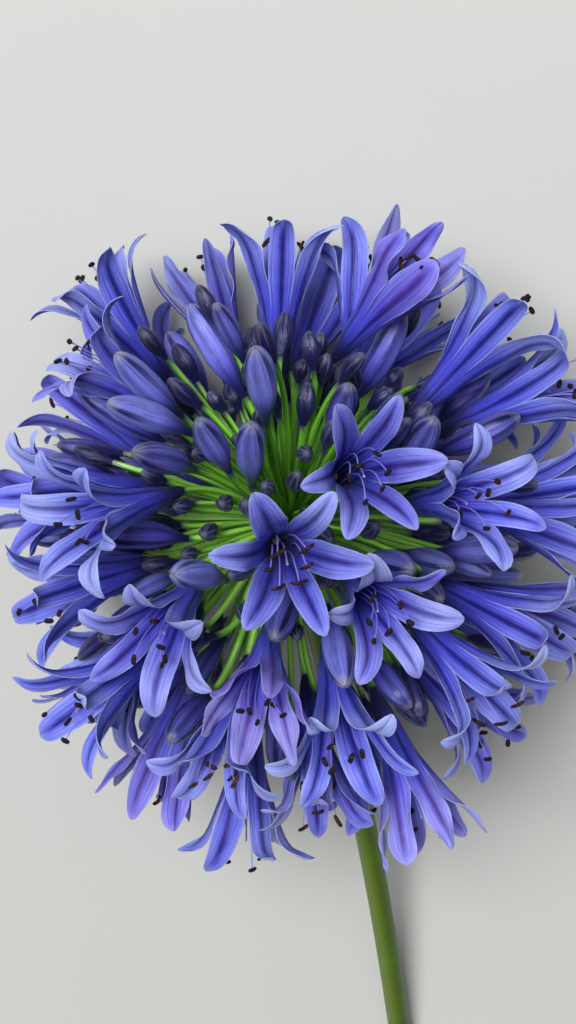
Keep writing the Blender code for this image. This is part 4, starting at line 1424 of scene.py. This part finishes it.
class AGAPANTHUS_OT_blooms(Operator):
    """Makes every open floret, with its six tepals, stamens and style"""

    bl_idname = "agapanthus.blooms"
    bl_label = "Open florets"

    def execute(self, context):
        blooms = context.scene.agapanthus_blooms
        materials = (petal_finish(blooms), filament_finish(blooms), anther_finish(blooms))
        open_florets = [flower for flower in FLORETS if flower.kind == "bloom"]
        for i, flower in enumerate(open_florets):
            rng = random.Random(BLOOM_SEED + i)
            node = f"bloom_{i + 1:02d}"
            draft = Draft()
            looks = add_perianth(draft, flower, rng, blooms)
            add_stamens(draft, flower, looks, rng)
            piece = draft.piece(f"open_floret_{i + 1:02d}", materials, "petal_violet", node)
            check_place(piece, node)
        return {"FINISHED"}


class AGAPANTHUS_OT_buds(Operator):
    """Makes the closed buds, the large violet ones and the small dark ones"""

    bl_idname = "agapanthus.buds"
    bl_label = "Buds"

    def execute(self, context):
        material = bud_finish(context.scene.agapanthus_buds)
        for name, kinds in (("large_buds", ("bud", "middling")), ("young_buds", ("young",))):
            buds = [flower for flower in FLORETS + EXTRAS if flower.kind in kinds]
            add_groups(name, buds, add_bud, material, "petal_violet")
        return {"FINISHED"}


class AGAPANTHUS_OT_stalks(Operator):
    """Makes the green stalks of all the florets and buds"""

    bl_idname = "agapanthus.stalks"
    bl_label = "Stalks"

    def execute(self, context):
        material = stalk_finish(context.scene.agapanthus_greens)
        add_groups("stalks", FLORETS + EXTRAS, add_stalk, material, "stem_green")
        return {"FINISHED"}


class AGAPANTHUS_OT_stem(Operator):
    """Makes the fleshy stem with its cut end and the knob at its top"""

    bl_idname = "agapanthus.stem"
    bl_label = "Stem"

    def execute(self, context):
        material = stem_finish(context.scene.agapanthus_greens)
        path, radii = stem_path()
        turn = math.tau * np.arange(STEM_SIDES) / STEM_SIDES
        oval = 1.0 - STEM_OVAL * np.sin(turn + STEM_OVAL_TURN) ** 2
        points, faces, grain = swept(path, radii[:, None] * oval, STEM_SIDES)
        cut = np.zeros(len(points))
        cut[:STEM_SIDES] = 1.0
        cut[-2] = 1.0
        draft = Draft()
        # Painted light and shade: the stem's side facing its lit direction is painted paler, the far side
        # darker
        draft.add(points, faces, grain, back=cut, pale=painted_lit_side(points, path, STEM_SIDES, STEM_LIT_SIDE))
        draft.piece("stem_and_knob", (material,), "stem_green", "stem")
        return {"FINISHED"}


class AGAPANTHUS_OT_stage(Operator):
    """Makes the pale surface, the soft lights, the surroundings and the camera"""

    bl_idname = "agapanthus.stage"
    bl_label = "Stage"

    def execute(self, context):
        stage = context.scene.agapanthus_stage
        centre = Vector(UMBEL_CENTRE)
        add_surface(stage)
        add_lights(stage, centre)
        add_world(stage)
        add_camera(stage, centre)
        context.scene.view_settings.view_transform = "Standard"
        return {"FINISHED"}


class AGAPANTHUS_PT_panel(Panel):
    """Lists the pieces and their settings"""

    bl_label = "Agapanthus"
    bl_idname = "AGAPANTHUS_PT_panel"
    bl_space_type = "VIEW_3D"
    bl_region_type = "UI"
    bl_category = "Agapanthus"

    def draw(self, context):
        for name, (group, operators) in PANEL_ROWS.items():
            box = self.layout.box()
            for operator in operators:
                box.operator(operator.bl_idname)
            for key in group.__annotations__:
                box.prop(getattr(context.scene, name), key)


PANEL_ROWS = {
    "agapanthus_blooms": (BloomSettings, (AGAPANTHUS_OT_blooms,)),
    "agapanthus_buds": (BudSettings, (AGAPANTHUS_OT_buds,)),
    "agapanthus_greens": (GreenSettings, (AGAPANTHUS_OT_stalks, AGAPANTHUS_OT_stem)),
    "agapanthus_stage": (StageSettings, (AGAPANTHUS_OT_stage,)),
}


def register():
    for name, (group, operators) in PANEL_ROWS.items():
        bpy.utils.register_class(group)
        setattr(bpy.types.Scene, name, PointerProperty(type=group))
        for operator in operators:
            bpy.utils.register_class(operator)
    bpy.utils.register_class(AGAPANTHUS_PT_panel)


def unregister():
    bpy.utils.unregister_class(AGAPANTHUS_PT_panel)
    for name, (group, operators) in PANEL_ROWS.items():
        for operator in operators:
            bpy.utils.unregister_class(operator)
        delattr(bpy.types.Scene, name)
        bpy.utils.unregister_class(group)


def main():
    register()
    bpy.ops.agapanthus.blooms()
    bpy.ops.agapanthus.buds()
    bpy.ops.agapanthus.stalks()
    bpy.ops.agapanthus.stem()
    bpy.ops.agapanthus.stage()


if __name__ == "__main__":
    main()
